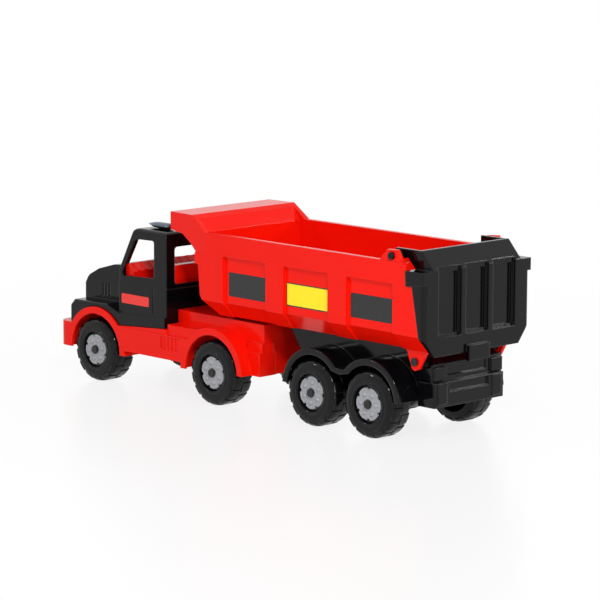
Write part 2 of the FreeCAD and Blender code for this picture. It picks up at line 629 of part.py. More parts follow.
def build_cab_interior():
    """Red insert: floor, seat back, bench and ribbed dashboard in one moulding."""
    body = new_body("cab_interior")
    floor_z = "sill_top + shoulder_rise + slack"
    slab(body, "bench", [
        ("cab_rear_x + 8", floor_z),
        ("cab_rear_x + 8", "seat_back_top"),
        ("cab_rear_x + 17", "seat_back_top"),
        ("cab_rear_x + 24", "window_sill - 12"),
        ("cab_rear_x + 50", "window_sill - 9"),
        ("cab_rear_x + 52", "window_sill - 34"),
        ("cab_rear_x + 62", "window_sill - 34"),
        ("cab_rear_x + 68", "window_sill + 1"),
        ("scuttle_x - 8", "window_sill + 9"),
        ("scuttle_x - 5", "window_sill + 8"),
        ("scuttle_x - 5", floor_z)], CAB_HALF + " - 7")
    slot(body, "under_bench", [
        ("cab_rear_x + 8 + wall", "0"),
        ("cab_rear_x + 8 + wall", "seat_back_top - wall"),
        ("cab_rear_x + 15 - wall / 2", "seat_back_top - wall"),
        ("cab_rear_x + 22 - wall / 2", "window_sill - 12 - wall"),
        ("cab_rear_x + 50 - wall", "window_sill - 9 - wall"),
        ("cab_rear_x + 52 - wall", "window_sill - 34 - wall"),
        ("cab_rear_x + 62 + wall", "window_sill - 34 - wall"),
        ("cab_rear_x + 68 + wall", "window_sill + 1 - wall"),
        ("scuttle_x - 8", "window_sill + 9 - wall - 1"),
        ("scuttle_x - 5 - wall", "window_sill"),
        ("scuttle_x - 5 - wall", "0")], CAB_HALF + " - 7 - wall")
    # the corners of the seat back are cut down beside the rear window
    along_cut(body, "seat_corner", [
        ("rear_window_half - 2", "seat_back_top + 5"), ("rear_window_half - 2", "seat_back_top - 3"),
        (CAB_HALF + " - 10", "window_sill + 2"), (CAB_HALF + " + 5", "window_sill + 2"),
        (CAB_HALF + " + 5", "seat_back_top + 5")], "cab_rear_x", "cab_rear_x + 40")
    ribs = outlines(body, "dash_ribs", "XY", [box_corners(
        "cab_rear_x + 64", "scuttle_x - 9", "12 * %d - 2" % index, "12 * %d + 2" % index)
        for index in range(-5, 6)], offset="window_sill - 6")
    pad(body, ribs, "14")
    return body


def build_roof_lamps():
    """Two drop-shaped lamps on the roof, flat underneath."""
    body = new_body("roof_lamps")
    drop = outline(body, "lamp", "XY", [
        ("cab_rear_x + 18", "lamp_y - lamp_radius / 2"),
        ("cab_rear_x + 22", "lamp_y - lamp_radius"),
        ("cab_rear_x + 38", "lamp_y - lamp_radius"),
        ("cab_rear_x + 47", "lamp_y - lamp_radius / 2"),
        ("cab_rear_x + 56", "lamp_y"),
        ("cab_rear_x + 47", "lamp_y + lamp_radius / 2"),
        ("cab_rear_x + 38", "lamp_y + lamp_radius"),
        ("cab_rear_x + 22", "lamp_y + lamp_radius"),
        ("cab_rear_x + 18", "lamp_y + lamp_radius / 2")], offset="roof_top")
    pad(body, drop, "lamp_radius")
    slope_edges(body, "lamp_slopes", "lamp_radius / 3", lambda edge: (
        edge.BoundBox.ZMin > SIZE["roof_top"] + SIZE["lamp_radius"] - 0.1))
    tip = outline(body, "lamp_tip", "XZ", [
        ("cab_rear_x + 36", "roof_top + lamp_radius + 1"),
        ("cab_rear_x + 36", "roof_top + lamp_radius"), ("cab_rear_x + 57", "roof_top + 1"),
        ("cab_rear_x + 60", "roof_top + lamp_radius + 1")], offset="-(lamp_y - 2 * lamp_radius)")
    pocket(body, tip, "4 * lamp_radius")
    both_whole(body, "lamps")
    return body


# ---------------------------------------------------------------- trailer
def build_trailer_frame():
    """Black moulding: neck, frame box, twin fenders with a lip, and rear bumper."""
    body = new_body("trailer_frame")
    front_fender = "(mid_axle_x - fender_shift)"
    rear_fender = "(-fender_shift / 2)"
    for word, along in (("front", front_fender), ("rear", rear_fender)):
        side_rounds(body, word + "_fender", [(along, FENDER_Z, FENDER_OUT)],
                    "frame_half", "half_width")
    saddle = "(mid_axle_x / 2 - fender_shift * 3 / 4)"
    side_block(body, "saddle", box_corners(saddle + " - valley_half", saddle + " + valley_half",
                                           "fender_foot", "valley_top"), "frame_half", "half_width")
    round_edges(body, "valley", "fender_valley", lambda edge: (
        runs_along(edge, 1) and abs(edge.BoundBox.ZMin - SIZE["valley_top"]) < 0.01))
    slab(body, "spine", [
        ("beam_x + 6", "frame_bottom"), ("beam_x + 6", "beam_high"),
        ("tip_x + 14", FRAME_TOP), ("frame_front_x - 10", FRAME_TOP),
        ("frame_front_x", NECK_UNDER), ("mid_axle_x + 30", "frame_bottom")], FRAME_OUT)
    neck = outline(body, "neck", "XY", [
        ("frame_front_x - 30", "-neck_half"), ("drive_axle_x", "-neck_half"),
        ("drive_axle_x", "neck_half"), ("frame_front_x - 30", "neck_half")], offset=NECK_UNDER)
    pad(body, neck, "neck_depth")
    head = circles(body, "neck_head", "XY", [("drive_axle_x", "0", "neck_radius")],
                   offset=NECK_UNDER)
    pad(body, head, "neck_depth")
    slot(body, "under", box_corners("-150", "mid_axle_x + 80", "-50", "fender_foot"), SPAN)
    for word, along in (("front", front_fender), ("rear", rear_fender)):
        side_rounds(body, word + "_well", [(along, FENDER_Z, FENDER_IN)],
                    FRAME_OUT, "half_width - lip_depth", cut=True)
        side_rounds(body, word + "_opening", [(along, FENDER_Z, FENDER_LIP)],
                    "half_width - lip_depth - 1", "half_width + 5", cut=True)
    side_block(body, "saddle_underside", [
        (saddle + " - 2 * valley_half", "0"),
        (saddle + " - 2 * valley_half", "valley_top - valley_depth / 2"),
        (saddle, "valley_top - valley_depth"),
        (saddle + " + 2 * valley_half", "valley_top - valley_depth / 2"),
        (saddle + " + 2 * valley_half", "0")], FRAME_OUT, "half_width + 1", cut=True)
    slot(body, "frame_tunnel", [
        ("beam_x + 6 + wall", "0"), ("beam_x + 6 + wall", "beam_high - wall"),
        ("tip_x + 15", FRAME_TOP + " - wall"), ("frame_front_x - 12", FRAME_TOP + " - wall"),
        ("frame_front_x - 12", NECK_UNDER + " + 1"), ("mid_axle_x + 30 - wall", "frame_bottom"),
        ("mid_axle_x + 30 - wall", "0")], "frame_half")
    # rear bumper: lower beam, upper beam with side returns, lamp boxes
    beam = outline(body, "lower_beam", "XY", [
        ("beam_x + beam_return", "-beam_half"), ("beam_x", "-beam_half"),
        ("beam_x", "beam_half"), ("beam_x + beam_return", "beam_half"),
        ("beam_x + beam_return", "beam_half - wall"), ("beam_x + 5 + wall", "beam_half - wall"),
        ("beam_x + 5 + wall", "-beam_half + wall"), ("beam_x + beam_return", "-beam_half + wall")],
        offset="beam_low")
    pad(body, beam, "beam_mid - beam_low")
    round_edges(body, "beam_rounding", "wall / 2", lambda edge: (
        runs_along(edge, 2) and abs(edge.BoundBox.XMin - SIZE["beam_x"]) < 0.01))
    side_block(body, "upper_beam_side", box_corners("beam_x + 4", "beam_x + 30", "beam_mid + 2", "beam_high - 4"),
               "frame_half - 2", "beam_half")
    slab(body, "upper_beam", box_corners("beam_x + 4", "beam_x + 8", "beam_mid - 1", "beam_high"),
         "beam_half")
    along_pad(body, "lamp_boxes", [
        ("beam_half - 18", "beam_mid + 2"), ("beam_half - 1", "beam_mid + 2"),
        ("beam_half - 1", "beam_high - 3.5"), ("beam_half - 18", "beam_high - 3.5")],
        "beam_x + 1.5", "beam_x + 6")
    along_pad(body, "lamp_plates", [
        ("beam_half - 19", "beam_low + 3"), ("beam_half - 4.5", "beam_low + 3"),
        ("beam_half - 4.5", "beam_mid - 1"), ("beam_half - 19", "beam_mid - 1")],
        "beam_x - 1.2", "beam_x + 2")
    plate = outline(body, "beam_recess", "YZ", [
        ("-(beam_half - 24)", "beam_mid - 11"), ("beam_half - 24", "beam_mid - 11"),
        ("beam_half - 24", "beam_mid - 1.5"), ("-(beam_half - 24)", "beam_mid - 1.5")],
        offset="beam_x - 5")
    pocket(body, plate, "5 + 2.2", backwards=True)
    plate = outline(body, "upper_recess", "YZ", [
        ("-(beam_half - 24)", "beam_mid + 6"), ("beam_half - 24", "beam_mid + 6"),
        ("beam_half - 24", "beam_high - 3"), ("-(beam_half - 24)", "beam_high - 3")],
        offset="beam_x - 5")
    pocket(body, plate, "5 + 4 + 1.6", backwards=True)
    side_block(body, "hangers", [
        ("-12", "wheel_radius - 8"), ("mid_axle_x + 12", "wheel_radius - 8"),
        ("mid_axle_x + 20", "frame_bottom + 2"), ("-20", "frame_bottom + 2")],
        "frame_half", FRAME_OUT)
    axles = circles(body, "trailer_axle_holes", "XZ", [
        ("mid_axle_x", "wheel_radius", "axle_radius + axle_play"),
        ("0", "wheel_radius", "axle_radius + axle_play")])
    pocket(body, axles, SPAN, symmetric=True)
    rod = circles(body, "tipping_rod_hole", "XZ", [("tip_x", "tip_z", "axle_radius + axle_play")])
    pocket(body, rod, SPAN, symmetric=True)
    return body


def build_kingpin():
    """Snap pin: a shank through the deck and a flange under it."""
    body = new_body("kingpin")
    shank = circles(body, "shank", "XY", [("drive_axle_x", "0", "kingpin_radius")],
                    offset="deck_top - wall - 4")
    pad(body, shank, "wall + 4 + swing_gap")
    flange = circles(body, "flange", "XY", [("drive_axle_x", "0", "kingpin_radius + 2.5")],
                     offset="deck_top - wall - 4")
    pad(body, flange, "4 - swing_gap")
    return body


def build_rod(label, along, height, half, radius, cap):
    """A plain rod across the truck with a flat snap head at each end."""
    body = new_body(label, along, "0", height)
    pad(body, circles(body, label + "_rod", "XZ", [("0", "0", radius)]),
        "2 * (%s)" % half, symmetric=True)
    head = polygon(body, label + "_head", "XZ", CAP_SIDES, cap, offset="-(%s)" % half)
    both_sides(body, pad(body, head, "cap_height", backwards=True))
    return body


# ---------------------------------------------------------------- wheels
def repeat_round(body, item, name, count):
    """Repeat a feature round the body's Y axis."""
    ring = body.newObject("PartDesign::PolarPattern", name)
    ring.Originals = [item]
    ring.Axis = (plane_of(body, "Y_Axis"), [""])
    ring.Angle = 360
    ring.Occurrences = count
    body.Tip = ring
    return ring


def build_tyre(label, along, side):
    """Tyre with sloping shoulders, cross lugs and a hollow back; side is 1 for left."""
    body = new_body(label, along, "%d * (half_width - wheel_inset - wheel_width / 2)" % side,
                    "wheel_radius")
    tread = "(wheel_radius - lug_height)"
    pad(body, polygon(body, label + "_crown", "XZ", TYRE_SIDES, tread), "wheel_width",
        symmetric=True)
    slope_edges(body, label + "_shoulders", "shoulder", lambda edge: edge.BoundBox.YLength < 0.01)
    lug = outline(body, label + "_lug", "YZ", [
        ("shoulder - wheel_width / 2", "wheel_radius - 2 * lug_height"),
        ("shoulder - wheel_width / 2", "wheel_radius - lug_height"),
        ("shoulder + lug_height - wheel_width / 2", "wheel_radius"),
        ("wheel_width / 2 - shoulder - lug_height", "wheel_radius"),
        ("wheel_width / 2 - shoulder", "wheel_radius - lug_height"),
        ("wheel_width / 2 - shoulder", "wheel_radius - 2 * lug_height")])
    repeat_round(body, pad(body, lug, "lug_length", symmetric=True), label + "_lugs", TREAD_LUGS)
    rim = polygon(body, label + "_rim", "XZ", RIM_SIDES, "rim_radius",
                  offset="%d * (wheel_width / 2)" % -side)
    pocket(body, rim, "disc_depth + disc_wall", backwards=side > 0)
    # the back is hollow, with a tube left round the hub
    back = outlines(body, label + "_back", "XZ", [
        polygon_corners(RIM_SIDES, "(wheel_radius - lug_height - 1.6 * wall)"),
        polygon_corners(HUB_SIDES, "(hub_radius + wall)")],
        offset="%d * (wheel_width / 2)" % side)
    pocket(body, back, "wheel_width - disc_depth - disc_wall - wall - 2", backwards=side < 0)
    bore = polygon(body, label + "_bore", "XZ", HUB_SIDES, "(hub_radius + slack)")
    pocket(body, bore, "wheel_width + 2", symmetric=True)
    return body


def build_disc(label, along, side):
    """Grey wheel disc with six lobes and a hub tube that runs on the axle."""
    body = new_body(label, along, "%d * (half_width - wheel_inset - wheel_width / 2)" % side,
                    "wheel_radius")
    inner = "(wheel_width / 2 - disc_depth - disc_wall)"
    face = polygon(body, label + "_face", "XZ", DISC_SIDES, "disc_radius",
                   offset="%d * %s" % (-side, inner))
    pad(body, face, "disc_wall", backwards=side > 0)
    notch = outline(body, label + "_notch", "XZ", [
        ("-notch_radius", "disc_radius + notch_radius"),
        ("-notch_radius", "disc_radius - notch_radius / 2"),
        ("-notch_radius / 2", "disc_radius - notch_radius"),
        ("notch_radius / 2", "disc_radius - notch_radius"),
        ("notch_radius", "disc_radius - notch_radius / 2"),
        ("notch_radius", "disc_radius + notch_radius")],
        offset="%d * (%s + disc_wall)" % (-side, inner))
    cut = pocket(body, notch, "disc_wall", backwards=side > 0)
    repeat_round(body, cut, label + "_notches", DISC_LOBES)
    pad(body, polygon(body, label + "_hub", "XZ", HUB_SIDES, "hub_radius"),
        "wheel_width - 2 * (disc_depth + disc_wall)", symmetric=True)
    # flats of the bore lie at the running fit's distance from the axle's middle
    bore = polygon(body, label + "_bore", "XZ", CAP_SIDES,
                   "(axle_radius + axle_play) * %.5f" % (1 / math.cos(math.pi / CAP_SIDES)))
    pocket(body, bore, "wheel_width + 2", symmetric=True)
    return body


# ---------------------------------------------------------------- dump body
def build_dump_body():
    """Red open tub with ribbed sides, headboard canopy, hinge lugs and tailgate ears."""
    body = new_body("dump_body")
    section = outline(body, "section", "YZ", [
        ("-half_width", RAIL_TOP), ("-half_width", BEND), ("-" + FOOT_HALF, BODY_LOW),
        (FOOT_HALF, BODY_LOW), ("half_width", BEND), ("half_width", RAIL_TOP)],
        offset="gate_x")
    pad(body, section, BODY_FRONT + " + 2.6 - gate_x")
    slab(body, "header", [
        (BODY_FRONT + " - 13", RAIL_TOP + " - 4"), (BODY_FRONT + " - 13", RAIL_TOP),
        (BODY_FRONT + " + 10", HEADER_TOP), (HEADER_FRONT, HEADER_TOP),
        (HEADER_FRONT, HEADER_LIP), (HEADER_FRONT + " - 22", HEADER_LIP + " - 3"),
        (BODY_FRONT + " + 11", HEADER_LIP + " - 12.5"),
        (BODY_FRONT + " + 2.6", HEADER_LIP + " - 20")], "half_width")
    slot(body, "canopy_room", [
        (BODY_FRONT + " + 1", RAIL_LOW), (BODY_FRONT + " + 1", RAIL_TOP + " + 3"),
        (BODY_FRONT + " + 11", HEADER_TOP + " - wall"), (HEADER_FRONT + " - wall", HEADER_TOP + " - wall"),
        (HEADER_FRONT + " - wall", RAIL_LOW)], "half_width - header_taper - wall")
    taper = outline(body, "canopy_taper", "XY", [
        (BODY_FRONT + " - 13", "half_width"), (HEADER_FRONT, "half_width - header_taper"),
        (HEADER_FRONT + " + 5", "half_width - header_taper"), (HEADER_FRONT + " + 5", "half_width + 5"),
        (BODY_FRONT + " - 13", "half_width + 5")], offset=HEADER_TOP + " + 5")
    both_sides(body, pocket(body, taper, HEADER_TOP + " + 5 - " + RAIL_LOW))
    slot(body, "nose_cut", [
        (BODY_FRONT + " + 1", RAIL_LOW + " - 13"), (BODY_FRONT + " - 3", RAIL_LOW + " - 13"),
        (BODY_FRONT + " - 6", BEND + " + 5"), (BODY_FRONT + " - 22", BODY_LOW),
        (BODY_FRONT + " - 22", BODY_LOW + " - 10"), (BODY_FRONT + " + 20", BODY_LOW + " - 10"),
        (BODY_FRONT + " + 20", RAIL_LOW + " - 13")], "half_width + 5")
    slot(body, "tail_cut", [
        ("gate_x - 5", BODY_LOW + " - 5"), (GATE_INNER + " + slack", BODY_LOW + " - 5"),
        ("gate_x + gate_reach - 18 + slack", BEND), ("gate_x + gate_reach - 8 + slack", RAIL_LOW),
        ("gate_x + gate_reach - 1 + slack", RAIL_LOW), ("gate_x + gate_reach + slack", SHOULDER_Z),
        ("gate_x + gate_reach + 2 + slack", RAIL_TOP + " + 5"), ("gate_x - 5", RAIL_TOP + " + 5")],
        "half_width + 5")
    load = outline(body, "load_space", "YZ", [
        ("-" + INNER_HALF, HEADER_TOP + " + 20"), ("-" + INNER_HALF, BEND + " + 3"),
        ("-(%s - panel_depth - 1)" % FOOT_HALF, FLOOR_TOP), (FOOT_HALF + " - panel_depth - 1", FLOOR_TOP),
        (INNER_HALF, BEND + " + 3"), (INNER_HALF, HEADER_TOP + " + 20")], offset="gate_x - 10")
    # the load space ends at the front wall, which leans back towards the floor
    pocket(body, load, BODY_FRONT + " - 28 - gate_x + 10", backwards=True)
    slot(body, "front_slope", [
        (BODY_FRONT + " - 30", FLOOR_TOP), (BODY_FRONT + " - 26", FLOOR_TOP),
        (BODY_FRONT + " - 12", BEND + " + 8"), (BODY_FRONT + " - 3 - wall", RAIL_LOW + " - 12"),
        (BODY_FRONT + " - wall - 1", RAIL_TOP + " - 2"), (BODY_FRONT + " + 12", HEADER_TOP + " + 10"),
        (BODY_FRONT + " - 30", HEADER_TOP + " + 10")], INNER_HALF + " - 0.6")
    under = outline(body, "floor_hollow", "YZ", [
        ("-(%s - panel_depth - wall)" % FOOT_HALF, BODY_LOW + " - 10"),
        (FOOT_HALF + " - panel_depth - wall", BODY_LOW + " - 10"),
        (FOOT_HALF + " - panel_depth - wall", FLOOR_UNDER),
        ("-(%s - panel_depth - wall)" % FOOT_HALF, FLOOR_UNDER)], offset="gate_x - 10")
    pocket(body, under, BODY_FRONT + " + 20 - gate_x", backwards=True)
    # the recessed panels run down over the sloping edge, with the ribs left between them
    for index in range(SIDE_PANELS):
        start = "panel_rear_x + panel_pitch * %d" % index
        along_cut(body, "panel_%d" % index, [
            ("half_width + 5", RAIL_LOW), ("half_width - panel_depth", RAIL_LOW),
            ("half_width - panel_depth", BEND), (FOOT_HALF + " - panel_depth", BODY_LOW),
            (FOOT_HALF + " - panel_depth", BODY_LOW + " - 5"), ("half_width + 5", BODY_LOW + " - 5")],
            start, start + " + panel_length")
    side_block(body, "lugs", [
        ("tip_x + 14", BODY_LOW + " + 3"), ("tip_x - 18", BODY_LOW + " + 3"),
        ("tip_x - 5", "tip_z - 8"), ("tip_x + 1", "tip_z - 10"),
        ("tip_x + 5", "tip_z - 8")], "(half_width - lug_inset)", "(half_width - lug_inset) + lug_thick")
    side_block(body, "ears", [
        ("pin_x + 22", RAIL_TOP + " - 4"), ("pin_x + 7", PIN_Z + " + 6"),
        ("pin_x - 7", PIN_Z + " + 7"), ("pin_x - 20", RAIL_TOP + " - 6"),
        ("pin_x - 20", RAIL_TOP + " - 10"), ("pin_x + 22", RAIL_TOP + " - 10")],
        INNER_HALF, "half_width - 2")
    side_rounds(body, "ear_holes", [("pin_x", PIN_Z, "pin_radius + axle_play")],
                "half_width - 20", "half_width + 5", cut=True)
    side_rounds(body, "lug_holes", [("tip_x", "tip_z", "axle_radius + axle_play")],
                "(half_width - lug_inset) - 5", "(half_width - lug_inset) + 10", cut=True)
    return body


def build_tailgate():
    """Black tailgate: recessed panels, side returns, leaning top, arms and hinge pins."""
    body = new_body("tailgate")
    slab(body, "gate_side", [
        ("gate_x", GATE_LOW), ("gate_x", SHOULDER_Z), ("gate_x + gate_reach", SHOULDER_Z),
        ("gate_x + gate_reach - 1", RAIL_LOW), ("gate_x + gate_reach - 8", RAIL_LOW),
        ("gate_x + gate_reach - 18", BEND), (GATE_INNER, BODY_LOW), (GATE_INNER, GATE_LOW)],
        "half_width")
    round_edges(body, "gate_corners", "gate_round", lambda edge: (
        runs_along(edge, 2) and abs(edge.BoundBox.XMin - SIZE["gate_x"]) < 0.01))
    slab(body, "gate_lean_top", [
        ("gate_x", SHOULDER_Z + " - 1"), ("gate_x", SHOULDER_Z), (GATE_TOP_X, GATE_TOP),
        (GATE_TOP_X + " + 4", GATE_TOP), (GATE_INNER, SHOULDER_Z), (GATE_INNER, SHOULDER_Z + " - 1")],
        GATE_TOP_HALF)
    along_cut(body, "gate_trim", [
        ("half_width + 5", GATE_LOW + " - 5"), (FOOT_HALF + " - 5", GATE_LOW + " - 5"),
        (FOOT_HALF, GATE_LOW), ("half_width", BEND + " - 1"), ("half_width + 5", BEND + " - 1")],
        "gate_x - 20", "gate_x + 60")
    inside = outline(body, "gate_inside", "YZ", [
        ("-(half_width - wall)", SHOULDER_Z + " - wall"), ("-(half_width - wall)", BEND + " - 3"),
        ("half_width - wall", BEND + " - 3"), ("half_width - wall", SHOULDER_Z + " - wall")],
        offset=GATE_INNER)
    pocket(body, inside, "40", backwards=True)
    # each panel is two steps deep, and its inner step bulges out of the plate's front
    panels = ["gate_pitch * %d" % index for index in (-1, 0, 1)]
    half = "gate_panel / 2"
    bulges = outlines(body, "gate_bulges", "YZ", [box_corners(
        "%s - %s" % (middle, half), "%s + %s" % (middle, half), BEND + " - 1", SHOULDER_Z + " - 1")
        for middle in panels], offset=GATE_INNER + " - 1")
    pad(body, bulges, "1 + 2 * gate_recess + wall - gate_wall")
    shallow = outlines(body, "gate_panels", "YZ", [box_corners(
        "%s - %s" % (middle, half), "%s + %s" % (middle, half), BEND + " - 2", SHOULDER_Z + " + 8")
        for middle in panels], offset="gate_x - 10")
    pocket(body, shallow, "10 + gate_recess", backwards=True)
    deep = outlines(body, "gate_panel_floors", "YZ", [box_corners(
        "%s - %s + wall" % (middle, half), "%s + %s - wall" % (middle, half),
        BEND + " - 2 + wall", SHOULDER_Z + " - wall") for middle in panels],
        offset="gate_x + gate_recess - 1")
    pocket(body, deep, "1 + gate_recess", backwards=True)
    round_edges(body, "panel_rounding", "wall", lambda edge: (
        runs_along(edge, 0) and edge.BoundBox.XLength < SIZE["gate_recess"] + 0.1
        and edge.BoundBox.ZMin > SIZE["roof_top"] - 10
        and edge.BoundBox.XMax < SIZE["gate_x"] + 2 * SIZE["gate_recess"] + 0.1))
    tab = outline(body, "gate_tab", "YZ", [
        ("-tab_half", GATE_LOW + " - 9"), ("tab_half", GATE_LOW + " - 9"),
        ("tab_half", GATE_LOW + " + 8"), ("-tab_half", GATE_LOW + " + 8")], offset="tail_x")
    pad(body, tab, "gate_x + 1 - tail_x")
    side_block(body, "hooks", [
        ("gate_x", SHOULDER_Z + " - hook_height"), ("gate_x + gate_reach - 1", RAIL_LOW),
        ("gate_x + gate_reach", SHOULDER_Z), ("gate_x", SHOULDER_Z)],
        "half_width - gate_round", "half_width + hook_out")
    arm_in = GATE_TOP_HALF + " - wall - 1.4"
    side_block(body, "arms", [
        (GATE_TOP_X, GATE_TOP), ("gate_x", SHOULDER_Z),
        ("gate_x + 26", SHOULDER_Z), ("pin_x - 12", PIN_Z + " - 2"),
        ("pin_x", PIN_Z + " - 5"), ("pin_x + 6", PIN_Z), ("pin_x + 6", GATE_TOP)],
        arm_in, GATE_TOP_HALF)
    side_rounds(body, "hinge_pins", [("pin_x", PIN_Z, "pin_radius")], arm_in, "half_width + 0.5")
    return body


build_chassis()
build_cab()
build_cab_interior()
build_roof_lamps()
build_trailer_frame()
build_kingpin()
build_dump_body()
build_tailgate()

AXLES = [
    ("steer", "steer_axle_x"),
    ("drive", "drive_axle_x"),
    ("trailer_front", "mid_axle_x"),
    ("trailer_rear", "0"),
]
HALF_AXLE = "half_width - wheel_inset - disc_depth + swing_gap"
for name, along in AXLES:
    build_rod(name + "_axle", along, "wheel_radius", HALF_AXLE, "axle_radius", "cap_radius")
    for word, side in (("left", 1), ("right", -1)):
        build_tyre("%s_%s_tyre" % (name, word), along, side)
        build_disc("%s_%s_disc" % (name, word), along, side)
build_rod("tipping_rod", "tip_x", "tip_z", "(half_width - lug_inset) + lug_thick + swing_gap", "axle_radius", "cap_radius")

doc.recompute()
faults = [item.Name for item in doc.Objects if "Invalid" in item.State or "Error" in item.State]
if faults:
    raise RuntimeError("objects that failed: " + ", ".join(faults))
os.makedirs("parts", exist_ok=True)
for item in doc.Objects:
    if item.TypeId != "PartDesign::Body":
        continue
    if item.Shape.isNull() or not item.Shape.isValid():
        raise RuntimeError("bad shape: " + item.Label)
    print("%-26s solids %d volume %.0f" % (item.Label, len(item.Shape.Solids), item.Shape.Volume))
    item.Shape.exportStep("parts/%s.step" % item.Label)
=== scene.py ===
# %% [markdown]
# # A toy semi-trailer dump truck
# The truck is a moulded plastic toy: a red chassis with a black cab, a black trailer
# frame, a red tipping tub with a black tailgate, and eight black tyres with grey discs.
# The rigid shapes come packed from the CAD model and stay where they are. This script
# gives every shell its plastic, makes the pieces that need finer shapes (tyres, discs,
# roof lamps, stickers), and sets up the studio.

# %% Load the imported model
import math

import bmesh
import bpy
from mathutils import Matrix, Vector


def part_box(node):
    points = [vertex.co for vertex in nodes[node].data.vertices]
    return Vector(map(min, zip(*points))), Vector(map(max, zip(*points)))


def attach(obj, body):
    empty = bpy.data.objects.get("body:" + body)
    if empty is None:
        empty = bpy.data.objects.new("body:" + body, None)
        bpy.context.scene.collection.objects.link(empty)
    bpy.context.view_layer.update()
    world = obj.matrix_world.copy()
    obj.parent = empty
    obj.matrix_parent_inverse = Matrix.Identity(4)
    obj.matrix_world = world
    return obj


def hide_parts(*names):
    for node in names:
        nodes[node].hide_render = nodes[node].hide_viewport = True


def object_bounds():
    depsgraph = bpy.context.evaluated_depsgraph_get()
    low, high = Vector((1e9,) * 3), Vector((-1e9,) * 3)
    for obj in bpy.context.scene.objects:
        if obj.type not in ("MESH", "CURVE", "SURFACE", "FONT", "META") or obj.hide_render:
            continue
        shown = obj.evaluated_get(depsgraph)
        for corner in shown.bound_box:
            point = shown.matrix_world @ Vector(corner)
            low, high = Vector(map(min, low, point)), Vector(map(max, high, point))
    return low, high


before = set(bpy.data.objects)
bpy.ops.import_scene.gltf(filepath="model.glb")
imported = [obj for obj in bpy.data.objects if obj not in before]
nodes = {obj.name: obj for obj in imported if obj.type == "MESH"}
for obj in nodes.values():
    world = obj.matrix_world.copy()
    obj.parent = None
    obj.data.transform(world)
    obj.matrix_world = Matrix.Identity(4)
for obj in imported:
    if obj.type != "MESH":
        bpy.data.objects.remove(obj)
cad_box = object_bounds()
MM = 0.001
print("pieces in the frame:", len(nodes))

# %% [markdown]
# ## Measures that the new pieces share
# Everything is in metres, in the frame of the CAD model, so the pieces are set out from
# the boxes of the nodes they belong to.

# %% Places read from the frame
axle_names = ("steer", "drive", "trailer_front", "trailer_rear")
tub_low, tub_high = (Vector(corner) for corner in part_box("dump_body"))
cab_low, cab_high = (Vector(corner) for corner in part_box("cab_shell"))
lamp_low, lamp_high = (Vector(corner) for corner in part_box("roof_lamps"))
tyre_low, tyre_high = (Vector(corner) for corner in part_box("trailer_rear_left_tyre"))
disc_low, disc_high = (Vector(corner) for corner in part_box("trailer_rear_left_disc"))
rear_axle_x = (tyre_low.x + tyre_high.x) / 2
tyre_radius = (tyre_high.z - tyre_low.z) / 2
tyre_half = (tyre_high.y - tyre_low.y) / 2
disc_radius = (disc_high.z - disc_low.z) / 2
print("tyre radius %.1f mm, half width %.1f mm" % (tyre_radius / MM, tyre_half / MM))

# %% [markdown]
# ## Plastics
# Injection-moulded polypropylene is never one flat colour. The pigment drifts a little,
# the gloss changes over sink marks, and the surface has a faint orange-peel ripple. It
# could be painted as an image, but noise has no seams and needs no file, so each plastic
# is a Principled shader whose colour and roughness are driven by noise on Object
# coordinates. They stay put because every piece's object sits at the origin. A Bevel
# node rounds the moulded edges, so that they catch the light as real ones do.

# %% A noise that stays put on the piece
def noise(tree, place, scale, detail):
    """The factor of a noise over the Object coordinates that place gives."""
    cloud = tree.nodes.new("ShaderNodeTexNoise")
    cloud.inputs["Scale"].default_value = scale
    cloud.inputs["Detail"].default_value = detail
    tree.links.new(place.outputs["Object"], cloud.inputs["Vector"])
    return cloud.outputs["Fac"]


# %% A helper that wires a moulded plastic
def moulded_plastic(name, dark, light, rough, ripple=0.02, edge=0.0008, grain=900.0,
                    metal=0.0, shine=0.4):
    """A plastic between two colours. rough is its lowest and highest roughness, edge the
    radius of its moulded edges in metres and shine its specular level."""
    plastic = bpy.data.materials.new(name)
    plastic.use_nodes = True
    tree = plastic.node_tree
    shader = tree.nodes["Principled BSDF"]
    shader.inputs["Metallic"].default_value = metal
    shader.inputs["Specular IOR Level"].default_value = shine
    place = tree.nodes.new("ShaderNodeTexCoord")
    tint = tree.nodes.new("ShaderNodeMix")
    tint.data_type = "RGBA"
    tint.inputs["A"].default_value = (*dark, 1.0)
    tint.inputs["B"].default_value = (*light, 1.0)
    tree.links.new(noise(tree, place, 14.0, 3.0), tint.inputs["Factor"])
    tree.links.new(tint.outputs["Result"], shader.inputs["Base Color"])
    gloss = tree.nodes.new("ShaderNodeMapRange")
    gloss.inputs["To Min"].default_value = rough[0]
    gloss.inputs["To Max"].default_value = rough[1]
    tree.links.new(noise(tree, place, 55.0, 4.0), gloss.inputs["Value"])
    tree.links.new(gloss.outputs["Result"], shader.inputs["Roughness"])
    rounded = tree.nodes.new("ShaderNodeBevel")
    rounded.samples = 6
    rounded.inputs["Radius"].default_value = edge
    bump = tree.nodes.new("ShaderNodeBump")
    bump.inputs["Strength"].default_value = ripple
    bump.inputs["Distance"].default_value = 0.0004
    tree.links.new(noise(tree, place, grain, 2.0), bump.inputs["Height"])
    tree.links.new(rounded.outputs["Normal"], bump.inputs["Normal"])
    tree.links.new(bump.outputs["Normal"], shader.inputs["Normal"])
    return plastic


